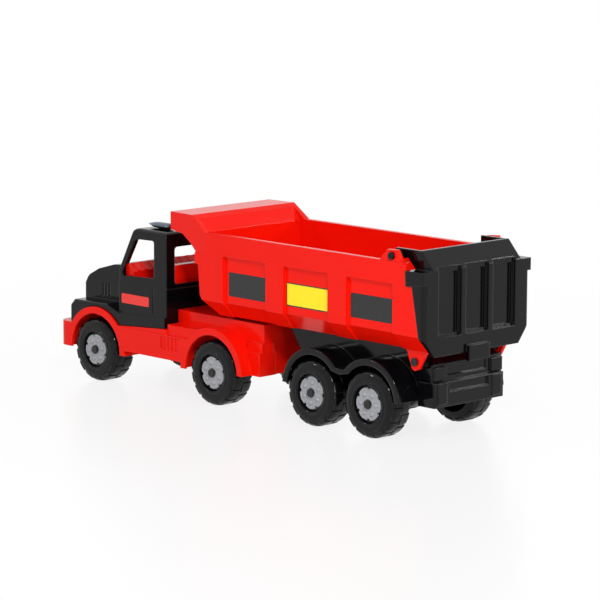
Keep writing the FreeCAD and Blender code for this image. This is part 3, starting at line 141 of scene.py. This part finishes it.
# %% The truck's plastics
deep_black, worn_black = (0.0015, 0.0015, 0.002), (0.003, 0.003, 0.004)
red_shell = moulded_plastic("red_shell", (0.85, 0.005, 0.001), (0.91, 0.010, 0.002),
                            (0.10, 0.20), edge=0.0013, shine=0.12)
black_shell = moulded_plastic("black_shell", deep_black, worn_black, (0.07, 0.15),
                              edge=0.0019, shine=0.21)
fender_black = moulded_plastic("fender_black", deep_black, worn_black, (0.07, 0.15),
                               edge=0.0027, shine=0.21)
tyre_black = moulded_plastic("tyre_black", deep_black, worn_black, (0.06, 0.13),
                             ripple=0.10, edge=0.0006, grain=420.0, shine=0.20)
disc_grey = moulded_plastic("disc_grey", (0.26, 0.27, 0.29), (0.38, 0.39, 0.41),
                            (0.25, 0.45), ripple=0.30, edge=0.0004, grain=500.0)
axle_black = moulded_plastic("axle_black", (0.010, 0.010, 0.011), (0.016, 0.016, 0.017),
                             (0.30, 0.45), edge=0.0004, shine=0.3)
lamp_chrome = moulded_plastic("lamp_chrome", (0.08, 0.11, 0.14), (0.18, 0.22, 0.26),
                              (0.06, 0.12), metal=0.85, edge=0.0004)

# %% Give every CAD node its plastic
finishes = {"tractor_chassis": red_shell, "cab_interior": red_shell, "dump_body": red_shell,
            "cab_shell": black_shell, "trailer_frame": fender_black, "tailgate": black_shell,
            "kingpin": axle_black, "tipping_rod": axle_black, "roof_lamps": lamp_chrome}
endings = {"tyre": tyre_black, "disc": disc_grey, "axle": axle_black}
for name, node in nodes.items():
    finish = finishes.get(name) or endings[name.split("_")[-1]]
    node.data.materials.clear()
    node.data.materials.append(finish)
print("plastics:", sorted({node.data.materials[0].name for node in nodes.values()}))

# %% [markdown]
# ## Finishing a new piece
# Every new piece is modelled in a bmesh, gets its material and its smooth shading here,
# and then rides on a body of the frame. Where it stands for CAD nodes, they are hidden.

# %% Turn a bmesh into a finished piece
CREASE = math.radians(35)  # an edge that folds more than this stays sharp


def finish_piece(mesh, name, plastic, body, instead=()):
    """Make an object of the bmesh, riding on a body, in place of the named CAD nodes."""
    data = bpy.data.meshes.new(name)
    bmesh.ops.recalc_face_normals(mesh, faces=mesh.faces)
    for face in mesh.faces:
        face.smooth = True
    for edge in mesh.edges:
        if len(edge.link_faces) == 2 and edge.calc_face_angle(0.0) > CREASE:
            edge.smooth = False
    mesh.to_mesh(data)
    mesh.free()
    data.materials.append(plastic)
    piece = bpy.data.objects.new(name, data)
    bpy.context.scene.collection.objects.link(piece)
    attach(piece, body)
    if instead:
        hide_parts(*instead)


# %% [markdown]
# ## Tyres
# The tyre is a balloon shape with a rounded shoulder, a raised ring beside the rim and
# two rows of lugs, turned against each other by half a pitch. It could be sculpted, but
# a lathe is the honest way: the half section is spun round the axle, and then the faces
# where a lug sits are lifted with a region inset, which gives every lug sloping flanks.

# %% Section of a tyre, from the rim's opening round to the hollow back
out = tyre_half
back = out + 2.0 * MM  # the tyre reaches this far inwards, close to the wall of the frame
tread = tyre_radius - 1.35 * MM
section = [  # (distance from the tyre's middle towards the outside, radius)
    (out - 4.2 * MM, 7.4 * MM), (out - 4.2 * MM, 19.6 * MM), (out - 2.2 * MM, 20.3 * MM),
    (out - 0.4 * MM, 21.2 * MM), (out, 22.0 * MM), (out, 23.4 * MM),  # the ring by the rim
    (out - 0.7 * MM, 24.2 * MM), (out - 0.5 * MM, 27.0 * MM), (out - 0.7 * MM, 30.0 * MM),
    (out - 1.5 * MM, 32.8 * MM), (out - 3.1 * MM, 35.0 * MM), (out - 5.6 * MM, 36.2 * MM),
    (out - 9.0 * MM, tread - 0.1 * MM), (0.5 * MM, tread), (-0.5 * MM, tread),  # the tread
    (7.0 * MM - back, tread - 0.1 * MM), (4.4 * MM - back, 36.1 * MM),
    (2.6 * MM - back, 35.0 * MM), (1.3 * MM - back, 33.0 * MM), (0.5 * MM - back, 30.4 * MM),
    (-back, 28.0 * MM), (-back, 25.6 * MM), (3.0 * MM - out, 24.4 * MM),  # the hollow back
    (out - 8.0 * MM, 24.0 * MM), (out - 8.0 * MM, 10.0 * MM), (2.4 * MM - out, 9.6 * MM),
    (2.4 * MM - out, 7.4 * MM)]
print("tyre section:", len(section), "points")


# %% Spin the section and lift the lugs
LUGS = 14            # lugs in each row
STEPS_PER_LUG = 8    # steps of the spin from one lug to the next
LUG_STEPS = 6        # steps that a lug is long; the others are the groove
LUG_FLANK, LUG_HEIGHT = 0.45 * MM, 1.0 * MM
LUG_FOOT = 30 * MM   # no lug lies nearer to the axle than this
OUTER_ROW, INNER_ROW = range(9, 13), range(14, 18)  # bands of the section with lugs


def make_tyre(name, body):
    """Spin a tyre, lift its two rows of lugs and set it in place of a CAD tyre."""
    low, high = (Vector(corner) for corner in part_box(name))
    side = 1.0 if low.y > 0 else -1.0
    centre = (low + high) / 2
    mesh = bmesh.new()
    ring = [mesh.verts.new((0.0, across, radius)) for across, radius in section]
    edges = [mesh.edges.new((ring[i], ring[(i + 1) % len(ring)])) for i in range(len(ring))]
    bmesh.ops.spin(mesh, geom=ring + edges, cent=(0, 0, 0), axis=(0, 1, 0),
                   angle=2 * math.pi, steps=LUGS * STEPS_PER_LUG, use_merge=True)
    bmesh.ops.recalc_face_normals(mesh, faces=mesh.faces)
    pitch = 2 * math.pi / LUGS
    for row, shift in ((OUTER_ROW, 0.0), (INNER_ROW, 0.5)):
        reach = (section[row[0]][0], section[row[-1] + 1][0])
        lugs = []
        for face in mesh.faces:
            spot = face.calc_center_median()
            radius = math.hypot(spot.x, spot.z)
            phase = (math.atan2(spot.z, spot.x) / pitch + shift) % 1.0
            inside = min(reach) < spot.y < max(reach)
            if inside and radius > LUG_FOOT and phase < LUG_STEPS / STEPS_PER_LUG:
                lugs.append(face)
        bmesh.ops.inset_region(mesh, faces=lugs, thickness=LUG_FLANK, depth=LUG_HEIGHT,
                               use_even_offset=True, use_boundary=True)
    bmesh.ops.scale(mesh, vec=(1.0, side, 1.0), verts=mesh.verts)
    bmesh.ops.translate(mesh, vec=centre, verts=mesh.verts)
    finish_piece(mesh, name + "_tread", tyre_black, body, [name])


# %% [markdown]
# ## Wheel discs
# The disc is a silver-grey moulding with six lobes, a notch between each two, a bump on
# each lobe and a raised collar round the axle's head. The lobes could be cut with
# booleans, but those leave long thin faces. So a circle is drawn to the lobed outline,
# and extrudes of its cap, ring by ring, give the rim, the dish and the collar.

# %% Outline of a disc
LOBES = 6


def lobed(angle):
    """The disc's outline as a share of its radius, with a narrow notch between lobes."""
    beat = math.cos(LOBES * angle)
    notch = min(1.0, max(0.0, (-beat - 0.80) / 0.08))
    return 0.98 + 0.02 * beat - 0.12 * notch


print("disc outline: %.1f mm at a lobe, %.1f mm in a notch" % (
    lobed(0) * disc_radius / MM, lobed(math.pi / LOBES) * disc_radius / MM))

# %% Build a disc
FACE_HEIGHT = 3.0 * MM   # the rim's face over the disc's back
BUMP_PLACE = 0.63 * disc_radius
BUMP_RADIUS, BUMP_FLATNESS = 2.6 * MM, 0.8


def make_disc(name, body, turned):
    """Build a disc, turned round the axle by some degrees, in place of a CAD disc."""
    low, high = (Vector(corner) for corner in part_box(name))
    side = 1.0 if low.y > 0 else -1.0
    axle = Vector(((low.x + high.x) / 2, 0, (low.z + high.z) / 2))
    face_y = high.y if side > 0 else low.y
    mesh = bmesh.new()
    made = bmesh.ops.create_circle(mesh, cap_ends=True, radius=disc_radius, segments=144)
    for vert in made["verts"]:
        vert.co *= lobed(math.atan2(vert.co.y, vert.co.x))
    rings = [  # share of the radius, height over the back in mm, share of the lobes left
        (1.0, 2.5, 1.0), (0.97, 3.0, 1.0), (0.88, 3.0, 1.0), (0.85, 2.5, 0.9),
        (0.42, 2.5, 0.0), (0.39, 2.9, 0.0), (0.30, 2.9, 0.0), (0.27, 1.2, 0.0)]
    cap = mesh.faces[:]
    for step, (share, height, lobes) in enumerate(rings):
        grown = bmesh.ops.extrude_face_region(mesh, geom=cap)["geom"]
        if step > 0:  # the first face stays as the back
            bmesh.ops.delete(mesh, geom=cap, context="FACES_ONLY")
        cap = [item for item in grown if isinstance(item, bmesh.types.BMFace)]
        for vert in cap[0].verts:
            angle = math.atan2(vert.co.y, vert.co.x)
            reach = disc_radius * share * (1 + lobes * (lobed(angle) - 1))
            vert.co = (reach * math.cos(angle), reach * math.sin(angle), height * MM)
    for lobe in range(LOBES):
        angle = 2 * math.pi * lobe / LOBES
        spot = Matrix.Translation((BUMP_PLACE * math.cos(angle),
                                   BUMP_PLACE * math.sin(angle), 2.4 * MM))
        dome = bmesh.ops.create_uvsphere(mesh, u_segments=20, v_segments=10,
                                         radius=BUMP_RADIUS)
        bmesh.ops.scale(mesh, vec=(1.0, 1.0, BUMP_FLATNESS), verts=dome["verts"])
        bmesh.ops.transform(mesh, matrix=spot, verts=dome["verts"])
    turn = Matrix.Rotation(math.radians(-90 * side), 4, "X")
    turn = turn @ Matrix.Rotation(math.radians(turned), 4, "Z")
    bmesh.ops.transform(mesh, matrix=turn, verts=mesh.verts)
    seat = axle + Vector((0, face_y - FACE_HEIGHT * side, 0))
    bmesh.ops.translate(mesh, vec=seat, verts=mesh.verts)
    finish_piece(mesh, name + "_face", disc_grey, body, [name])


# %% Dress the eight wheels
for turned, axle in zip((12, 40, 26, 0), axle_names):
    for word in ("left", "right"):
        wheel = "%s_%s" % (axle, word)
        make_tyre(wheel + "_tyre", wheel + "_wheel")
        make_disc(wheel + "_disc", wheel + "_wheel", turned)
print("wheels dressed:", 2 * len(axle_names))

# %% [markdown]
# ## Roof lamps
# Two horns of dark metallised plastic lie on the roof. Each is a drop with a sharp tip
# that points ahead and floats a little over the roof. It could be a sphere pulled long,
# but its outline is easier to steer when it is spun once round its own long axis and
# then made wider than it is high.

# %% Spin the two drops
def make_lamps():
    """Both horns in one piece, in place of the CAD drops."""
    mesh = bmesh.new()
    length = lamp_high.x - lamp_low.x + 1.8 * MM
    radius, widening = 3.7 * MM, 1.6
    outline = [  # share of the length from the rear, share of the radius
        (0.0, 0.0), (0.0, 0.70), (0.02, 0.86), (0.06, 0.96), (0.12, 1.0), (0.45, 1.0),
        (0.58, 0.94), (0.70, 0.80), (0.81, 0.58), (0.90, 0.33), (0.96, 0.14), (1.0, 0.0)]
    for side in (1, -1):
        spots = [mesh.verts.new((along * length, 0, wide * radius * 0.999))
                 for along, wide in outline]
        edges = [mesh.edges.new(pair) for pair in zip(spots[:-1], spots[1:])]
        bmesh.ops.spin(mesh, geom=spots + edges, cent=(0, 0, 0), axis=(1, 0, 0),
                       angle=2 * math.pi, steps=40, use_merge=True)
        drop = [vert for vert in mesh.verts if not vert.tag]
        bmesh.ops.scale(mesh, vec=(1.0, widening, 1.0), verts=drop)
        bmesh.ops.translate(mesh, verts=drop, vec=(
            lamp_low.x, side * (lamp_high.y - widening * radius), lamp_low.z + radius))
        for vert in drop:
            vert.tag = True
    bmesh.ops.remove_doubles(mesh, verts=mesh.verts, dist=0.00002)
    print("lamp drops: %.0f mm long, %.0f mm high" % (length / MM, 2 * radius / MM))
    finish_piece(mesh, "roof_lamp_drops", lamp_chrome, "tractor", ["roof_lamps"])


make_lamps()

# %% [markdown]
# ## Cab interior
# One red moulding fills the cab: a low seat back behind the rear window, a bench, a foot
# well and a dashboard with ribs on its sloping top. Blocks could be joined to make it,
# but one section needs no joints. It is pulled across the cab in strips, so that every
# other strip of the dashboard's top can be lifted into a rib.

# %% Pull the section across the cab
STRIPS = 23
RIB_FLANK, RIB_HEIGHT = 0.6 * MM, 1.0 * MM


def make_interior():
    """The seat, foot well and dashboard, in place of the CAD interior."""
    low, high = (Vector(corner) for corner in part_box("cab_interior"))
    rear, front, floor_z = low.x, high.x, low.z
    sill = high.z - 25.0 * MM   # lower edge of the side windows
    dash = rear + 57 * MM       # rear edge of the dashboard's top
    profile = [
        (rear, floor_z), (rear, sill + 16.5 * MM), (rear + 9 * MM, sill + 16.5 * MM),
        (rear + 16 * MM, sill - 12 * MM), (rear + 42 * MM, sill - 9 * MM),
        (rear + 44 * MM, sill - 34 * MM), (rear + 52 * MM, sill - 34 * MM),
        (dash, sill + 4 * MM), (front - 1.5 * MM, sill + 12.5 * MM),
        (front, sill + 11 * MM), (front, floor_z)]
    mesh = bmesh.new()
    ring = [mesh.verts.new((x, low.y, z)) for x, z in profile]
    edges = [mesh.edges.new((ring[i], ring[(i + 1) % len(ring)])) for i in range(len(ring))]
    width = (high.y - low.y) / STRIPS
    for _ in range(STRIPS):
        pulled = bmesh.ops.extrude_edge_only(mesh, edges=edges)["geom"]
        edges = [item for item in pulled if isinstance(item, bmesh.types.BMEdge)
                 and item.is_boundary]
        verts = [item for item in pulled if isinstance(item, bmesh.types.BMVert)]
        bmesh.ops.translate(mesh, verts=verts, vec=(0, width, 0))
    bmesh.ops.holes_fill(mesh, edges=[edge for edge in mesh.edges if edge.is_boundary])
    bmesh.ops.recalc_face_normals(mesh, faces=mesh.faces)
    for face in mesh.faces[:]:
        spot = face.calc_center_median()
        on_top = dash < spot.x < front - 2 * MM and face.normal.z > 0.5
        if on_top and int((spot.y - low.y) / width) % 2:
            bmesh.ops.inset_region(mesh, faces=[face], thickness=RIB_FLANK, depth=RIB_HEIGHT,
                                   use_even_offset=True, use_boundary=True)
    print("cab interior:", len(mesh.faces), "faces")
    finish_piece(mesh, "cab_seat_and_dash", red_shell, "tractor",
                 ["cab_interior"])


make_interior()

# %% [markdown]
# ## Stickers
# Film labels lie in the tub's recessed panels and on the cab's doors. They carry nothing
# but their colour and a plain border. They could be painted into the tub's own material,
# but a real sticker has a thickness and an edge that catches the light. So each is a thin
# sheet: a square face, its corners bevelled, its rim lifted by the film's thickness.

# %% The film's material
BORDERS = (("X", 0.018), ("Y", 0.05))  # the border's share of the length and the height


def film(name, colour, border):
    """A glossy printed film with a border round its edge, drawn on its UV map."""
    sheet = moulded_plastic(name, colour, [part * 1.06 for part in colour], (0.24, 0.32),
                            ripple=0.01, edge=0.05 * MM)
    tree = sheet.node_tree
    shader = tree.nodes["Principled BSDF"]
    tint = shader.inputs["Base Color"].links[0].from_socket
    flat = tree.nodes.new("ShaderNodeUVMap")
    parts = tree.nodes.new("ShaderNodeSeparateXYZ")
    tree.links.new(flat.outputs["UV"], parts.inputs["Vector"])
    masks = []
    for axis, margin in BORDERS:
        near = tree.nodes.new("ShaderNodeMath")
        near.operation = "PINGPONG"
        near.inputs[1].default_value = 0.5
        tree.links.new(parts.outputs[axis], near.inputs[0])
        below = tree.nodes.new("ShaderNodeMath")
        below.operation = "LESS_THAN"
        below.inputs[1].default_value = margin
        tree.links.new(near.outputs[0], below.inputs[0])
        masks.append(below)
    either = tree.nodes.new("ShaderNodeMath")
    either.operation = "MAXIMUM"
    for number, mask in enumerate(masks):
        tree.links.new(mask.outputs[0], either.inputs[number])
    printed = tree.nodes.new("ShaderNodeMix")
    printed.data_type = "RGBA"
    printed.inputs["B"].default_value = (*border, 1.0)
    tree.links.new(tint, printed.inputs["A"])
    tree.links.new(either.outputs[0], printed.inputs["Factor"])
    tree.links.new(printed.outputs["Result"], shader.inputs["Base Color"])
    return sheet


yellow_film = film("yellow_film", (0.95, 0.78, 0.0), (0.02, 0.02, 0.02))
dark_film = film("dark_film", (0.011, 0.011, 0.012), (0.011, 0.011, 0.012))
door_film = film("door_film", (0.85, 0.03, 0.02), (0.85, 0.03, 0.02))
print("films:", yellow_film.name, dark_film.name, door_film.name)

# %% Build a sticker
CORNER, THICKNESS = 1.6 * MM, 0.18 * MM


def make_sticker(name, sheet, body, side, rear, front, low, high, wall_y):
    """A film between two places along the truck and two heights, on a wall at wall_y."""
    mesh = bmesh.new()
    bmesh.ops.create_grid(mesh, x_segments=1, y_segments=1, size=0.5, calc_uvs=False)
    bmesh.ops.scale(mesh, vec=(front - rear, high - low, 1.0), verts=mesh.verts)
    bmesh.ops.bevel(mesh, geom=mesh.verts[:], offset=CORNER, segments=4, profile=0.5,
                    affect="VERTICES", material=-1)
    grown = bmesh.ops.extrude_face_region(mesh, geom=mesh.faces[:])
    verts = [item for item in grown["geom"] if isinstance(item, bmesh.types.BMVert)]
    bmesh.ops.translate(mesh, vec=(0, 0, THICKNESS), verts=verts)
    plan = mesh.loops.layers.uv.new("UVMap")
    for face in mesh.faces:
        for loop in face.loops:
            loop[plan].uv = (loop.vert.co.x / (front - rear) + 0.5,
                             loop.vert.co.y / (high - low) + 0.5)
    turn = Matrix.Rotation(math.radians(90), 4, "X")
    if side > 0:
        turn = Matrix.Rotation(math.pi, 4, "Z") @ turn
    bmesh.ops.transform(mesh, matrix=turn, verts=mesh.verts)
    middle = ((rear + front) / 2, side * wall_y, (low + high) / 2)
    bmesh.ops.translate(mesh, vec=middle, verts=mesh.verts)
    finish_piece(mesh, name, sheet, body)


# %% Lay the stickers on both sides
panel_wall = (tub_high.y - tub_low.y) / 2 - 4.0 * MM
door_wall = (cab_high.y - cab_low.y) / 2 - 3.5 * MM
stickers = [  # name, film, body, slot, wall, rear and front end from the rear axle, heights
    ("rear_sticker", dark_film, "dump_body", "black_plastic", panel_wall,
     -33.8 * MM, 28.5 * MM, 129.0 * MM, 155.5 * MM),
    ("middle_sticker", yellow_film, "dump_body", "red_plastic", panel_wall,
     61.8 * MM, 127.5 * MM, 129.0 * MM, 155.0 * MM),
    ("front_sticker", dark_film, "dump_body", "black_plastic", panel_wall,
     158.6 * MM, 220.0 * MM, 128.5 * MM, 155.5 * MM),
    ("door_sticker", door_film, "tractor", "red_plastic", door_wall,
     357.5 * MM, 405.0 * MM, 98.5 * MM, 109.7 * MM)]
for name, sheet, body, slot, wall_y, rear, front, low, high in stickers:
    for word, side in (("left", 1), ("right", -1)):
        make_sticker("%s_%s" % (name, word), sheet, body, side,
                     rear_axle_x + rear, rear_axle_x + front, low, high, wall_y)
print("stickers:", 2 * len(stickers))

# %% [markdown]
# ## Studio
# A product studio is a white sweep of paper with lamps round it. More light would blow a
# grey backdrop out to white, but it would bleach the truck as well. So the light on the
# truck stays plain, and only the rays that the camera and the gloss send out see a
# backdrop of pure white.

# %% Which rays see the plain backdrop
def backdrop_rays(tree):
    """A socket that is 1 for camera, glossy and transmission rays and 0 for the rest."""
    rays = tree.nodes.new("ShaderNodeLightPath")
    seen = rays.outputs["Is Camera Ray"]
    for kind in ("Is Glossy Ray", "Is Transmission Ray"):
        either = tree.nodes.new("ShaderNodeMath")
        either.operation = "MAXIMUM"
        tree.links.new(seen, either.inputs[0])
        tree.links.new(rays.outputs[kind], either.inputs[1])
        seen = either.outputs[0]
    return seen


# %% [markdown]
# ## Floor
# The truck stands on pale, slightly glazed paper. A plain matt floor would look grey
# beside the white backdrop, so its own white is blended in, all of it at a distance and
# a little less near the truck, where the shadow has to stay. A faint glaze on top
# mirrors the tyres and the red shells.

# %% Floor's mesh
floor_mesh = bmesh.new()
bmesh.ops.create_grid(floor_mesh, x_segments=2, y_segments=2, size=9.0)
bmesh.ops.translate(floor_mesh, vec=(5.0, -5.0, cad_box[0][2]), verts=floor_mesh.verts)
floor_data = bpy.data.meshes.new("floor")
floor_mesh.to_mesh(floor_data)
floor_mesh.free()
floor = bpy.data.objects.new("floor", floor_data)
bpy.context.scene.collection.objects.link(floor)
print("floor at height %.1f mm" % (cad_box[0][2] / MM))

# %% Floor's paper
paper = bpy.data.materials.new("paper")
paper.use_nodes = True
tree = paper.node_tree
matt = tree.nodes["Principled BSDF"]
matt.inputs["Base Color"].default_value = (0.95, 0.95, 0.95, 1.0)
matt.inputs["Roughness"].default_value = 0.32
lit = tree.nodes.new("ShaderNodeEmission")
seen = backdrop_rays(tree)
spot = tree.nodes.new("ShaderNodeTexCoord")
far = tree.nodes.new("ShaderNodeVectorMath")
far.operation = "LENGTH"
tree.links.new(spot.outputs["Object"], far.inputs[0])
fade = tree.nodes.new("ShaderNodeMapRange")
fade.inputs["From Min"].default_value = 0.35
fade.inputs["From Max"].default_value = 1.1
fade.inputs["To Min"].default_value = 0.91
fade.inputs["To Max"].default_value = 1.0
tree.links.new(far.outputs["Value"], fade.inputs["Value"])
share = tree.nodes.new("ShaderNodeMath")
share.operation = "MULTIPLY"
tree.links.new(seen, share.inputs[0])
tree.links.new(fade.outputs["Result"], share.inputs[1])
blend = tree.nodes.new("ShaderNodeMixShader")
tree.links.new(share.outputs[0], blend.inputs["Fac"])
tree.links.new(matt.outputs["BSDF"], blend.inputs[1])
tree.links.new(lit.outputs["Emission"], blend.inputs[2])
mirror = tree.nodes.new("ShaderNodeBsdfAnisotropic")
mirror.inputs["Color"].default_value = (1.0, 1.0, 1.0, 1.0)
mirror.inputs["Roughness"].default_value = 0.26
glaze = tree.nodes.new("ShaderNodeMixShader")
glaze.inputs["Fac"].default_value = 0.07
tree.links.new(blend.outputs["Shader"], glaze.inputs[1])
tree.links.new(mirror.outputs["BSDF"], glaze.inputs[2])
tree.links.new(glaze.outputs["Shader"], tree.nodes["Material Output"].inputs["Surface"])
floor_data.materials.append(paper)
print("paper: white near the truck %.2f, glaze %.2f" % (
    fade.inputs["To Min"].default_value, glaze.inputs["Fac"].default_value))

# %% [markdown]
# ## World
# A white tent of cloth hangs over the studio. An image of a sky could light the truck
# too, but a tent that only grows brighter from the horizon up gives the even, soft shade
# that moulded plastic is shown in.

# %% World
tent = bpy.data.worlds.new("tent")
bpy.context.scene.world = tent
tent.use_nodes = True
tree = tent.node_tree
sky = tree.nodes["Background"]
sky.inputs["Color"].default_value = (1.0, 1.0, 1.0, 1.0)
look = tree.nodes.new("ShaderNodeTexCoord")
split = tree.nodes.new("ShaderNodeSeparateXYZ")
tree.links.new(look.outputs["Generated"], split.inputs["Vector"])
rise = tree.nodes.new("ShaderNodeMapRange")
rise.inputs["From Min"].default_value = -0.1
rise.inputs["From Max"].default_value = 0.9
rise.inputs["To Min"].default_value = 0.27
rise.inputs["To Max"].default_value = 0.62
tree.links.new(split.outputs["Z"], rise.inputs["Value"])
tree.links.new(rise.outputs["Result"], sky.inputs["Strength"])
backdrop = tree.nodes.new("ShaderNodeBackground")
backdrop.inputs["Color"].default_value = (1.0, 1.0, 1.0, 1.0)
either = tree.nodes.new("ShaderNodeMixShader")
tree.links.new(backdrop_rays(tree), either.inputs["Fac"])
tree.links.new(sky.outputs["Background"], either.inputs[1])
tree.links.new(backdrop.outputs["Background"], either.inputs[2])
tree.links.new(either.outputs["Shader"], tree.nodes["World Output"].inputs["Surface"])
print("tent: strength %.2f to %.2f" % (
    rise.inputs["To Min"].default_value, rise.inputs["To Max"].default_value))

# %% [markdown]
# ## Softboxes
# Gloss shows only what it mirrors, so black plastic needs small bright lamps. A sun lamp
# would mirror as a point, and an area lamp mirrors as a neat window, so each softbox is
# one. The key stands high on the truck's rear left, and thin strips draw the long glints
# on the arches and the tailgate.

# %% Softboxes
TRUCK_MIDDLE = Vector((0, 0, 0.1))


def softbox(name, place, size, power):
    """An area lamp of some width and height in metres that points at the truck."""
    light = bpy.data.lights.new(name, "AREA")
    light.shape = "RECTANGLE"
    light.size, light.size_y = size
    light.energy = power
    lamp = bpy.data.objects.new(name, light)
    lamp.location = place
    lamp.rotation_euler = (TRUCK_MIDDLE - Vector(place)).to_track_quat("-Z", "Y").to_euler()
    bpy.context.scene.collection.objects.link(lamp)


softbox("key", (-1.40, 1.05, 1.35), (0.24, 0.24), 20.0)
softbox("front_left", (1.2, 1.8, 1.0), (0.3, 0.3), 5.0)
softbox("back_right", (-1.13, -1.37, 0.89), (0.12, 0.50), 6.0)
softbox("rear_strip", (-1.90, 0.95, 0.40), (0.06, 0.50), 6.0)
print("softboxes:", sorted(light.name for light in bpy.data.lights))

# %% [markdown]
# ## Camera
# The truck is seen from its left side and rear, a little from above. A short lens close
# by would make the tailgate loom, so a long lens looks from a good three metres away and
# the far lines hardly run together.

# %% Camera
lens = bpy.data.cameras.new("camera")
lens.sensor_width = 36.0
lens.lens = 184.9
lens.clip_end = 60.0
camera = bpy.data.objects.new("camera", lens)
yaw, pitch, roll = math.radians(-44.06), math.radians(-9.38), math.radians(0.2)
ahead = Vector((math.cos(pitch) * math.cos(yaw), math.cos(pitch) * math.sin(yaw), math.sin(pitch)))
camera.location = (rear_axle_x - 2.2649, 2.3728, 0.6828)
camera.rotation_mode = "QUATERNION"
camera.rotation_quaternion = (ahead.to_track_quat("-Z", "Y")
                              @ Matrix.Rotation(roll, 4, "Z").to_quaternion())
bpy.context.scene.collection.objects.link(camera)
bpy.context.scene.camera = camera
bpy.context.scene.view_settings.view_transform = "Standard"
print("camera %.2f m from the rear axle" % (
    camera.location - Vector((rear_axle_x, 0, tyre_radius))).length)
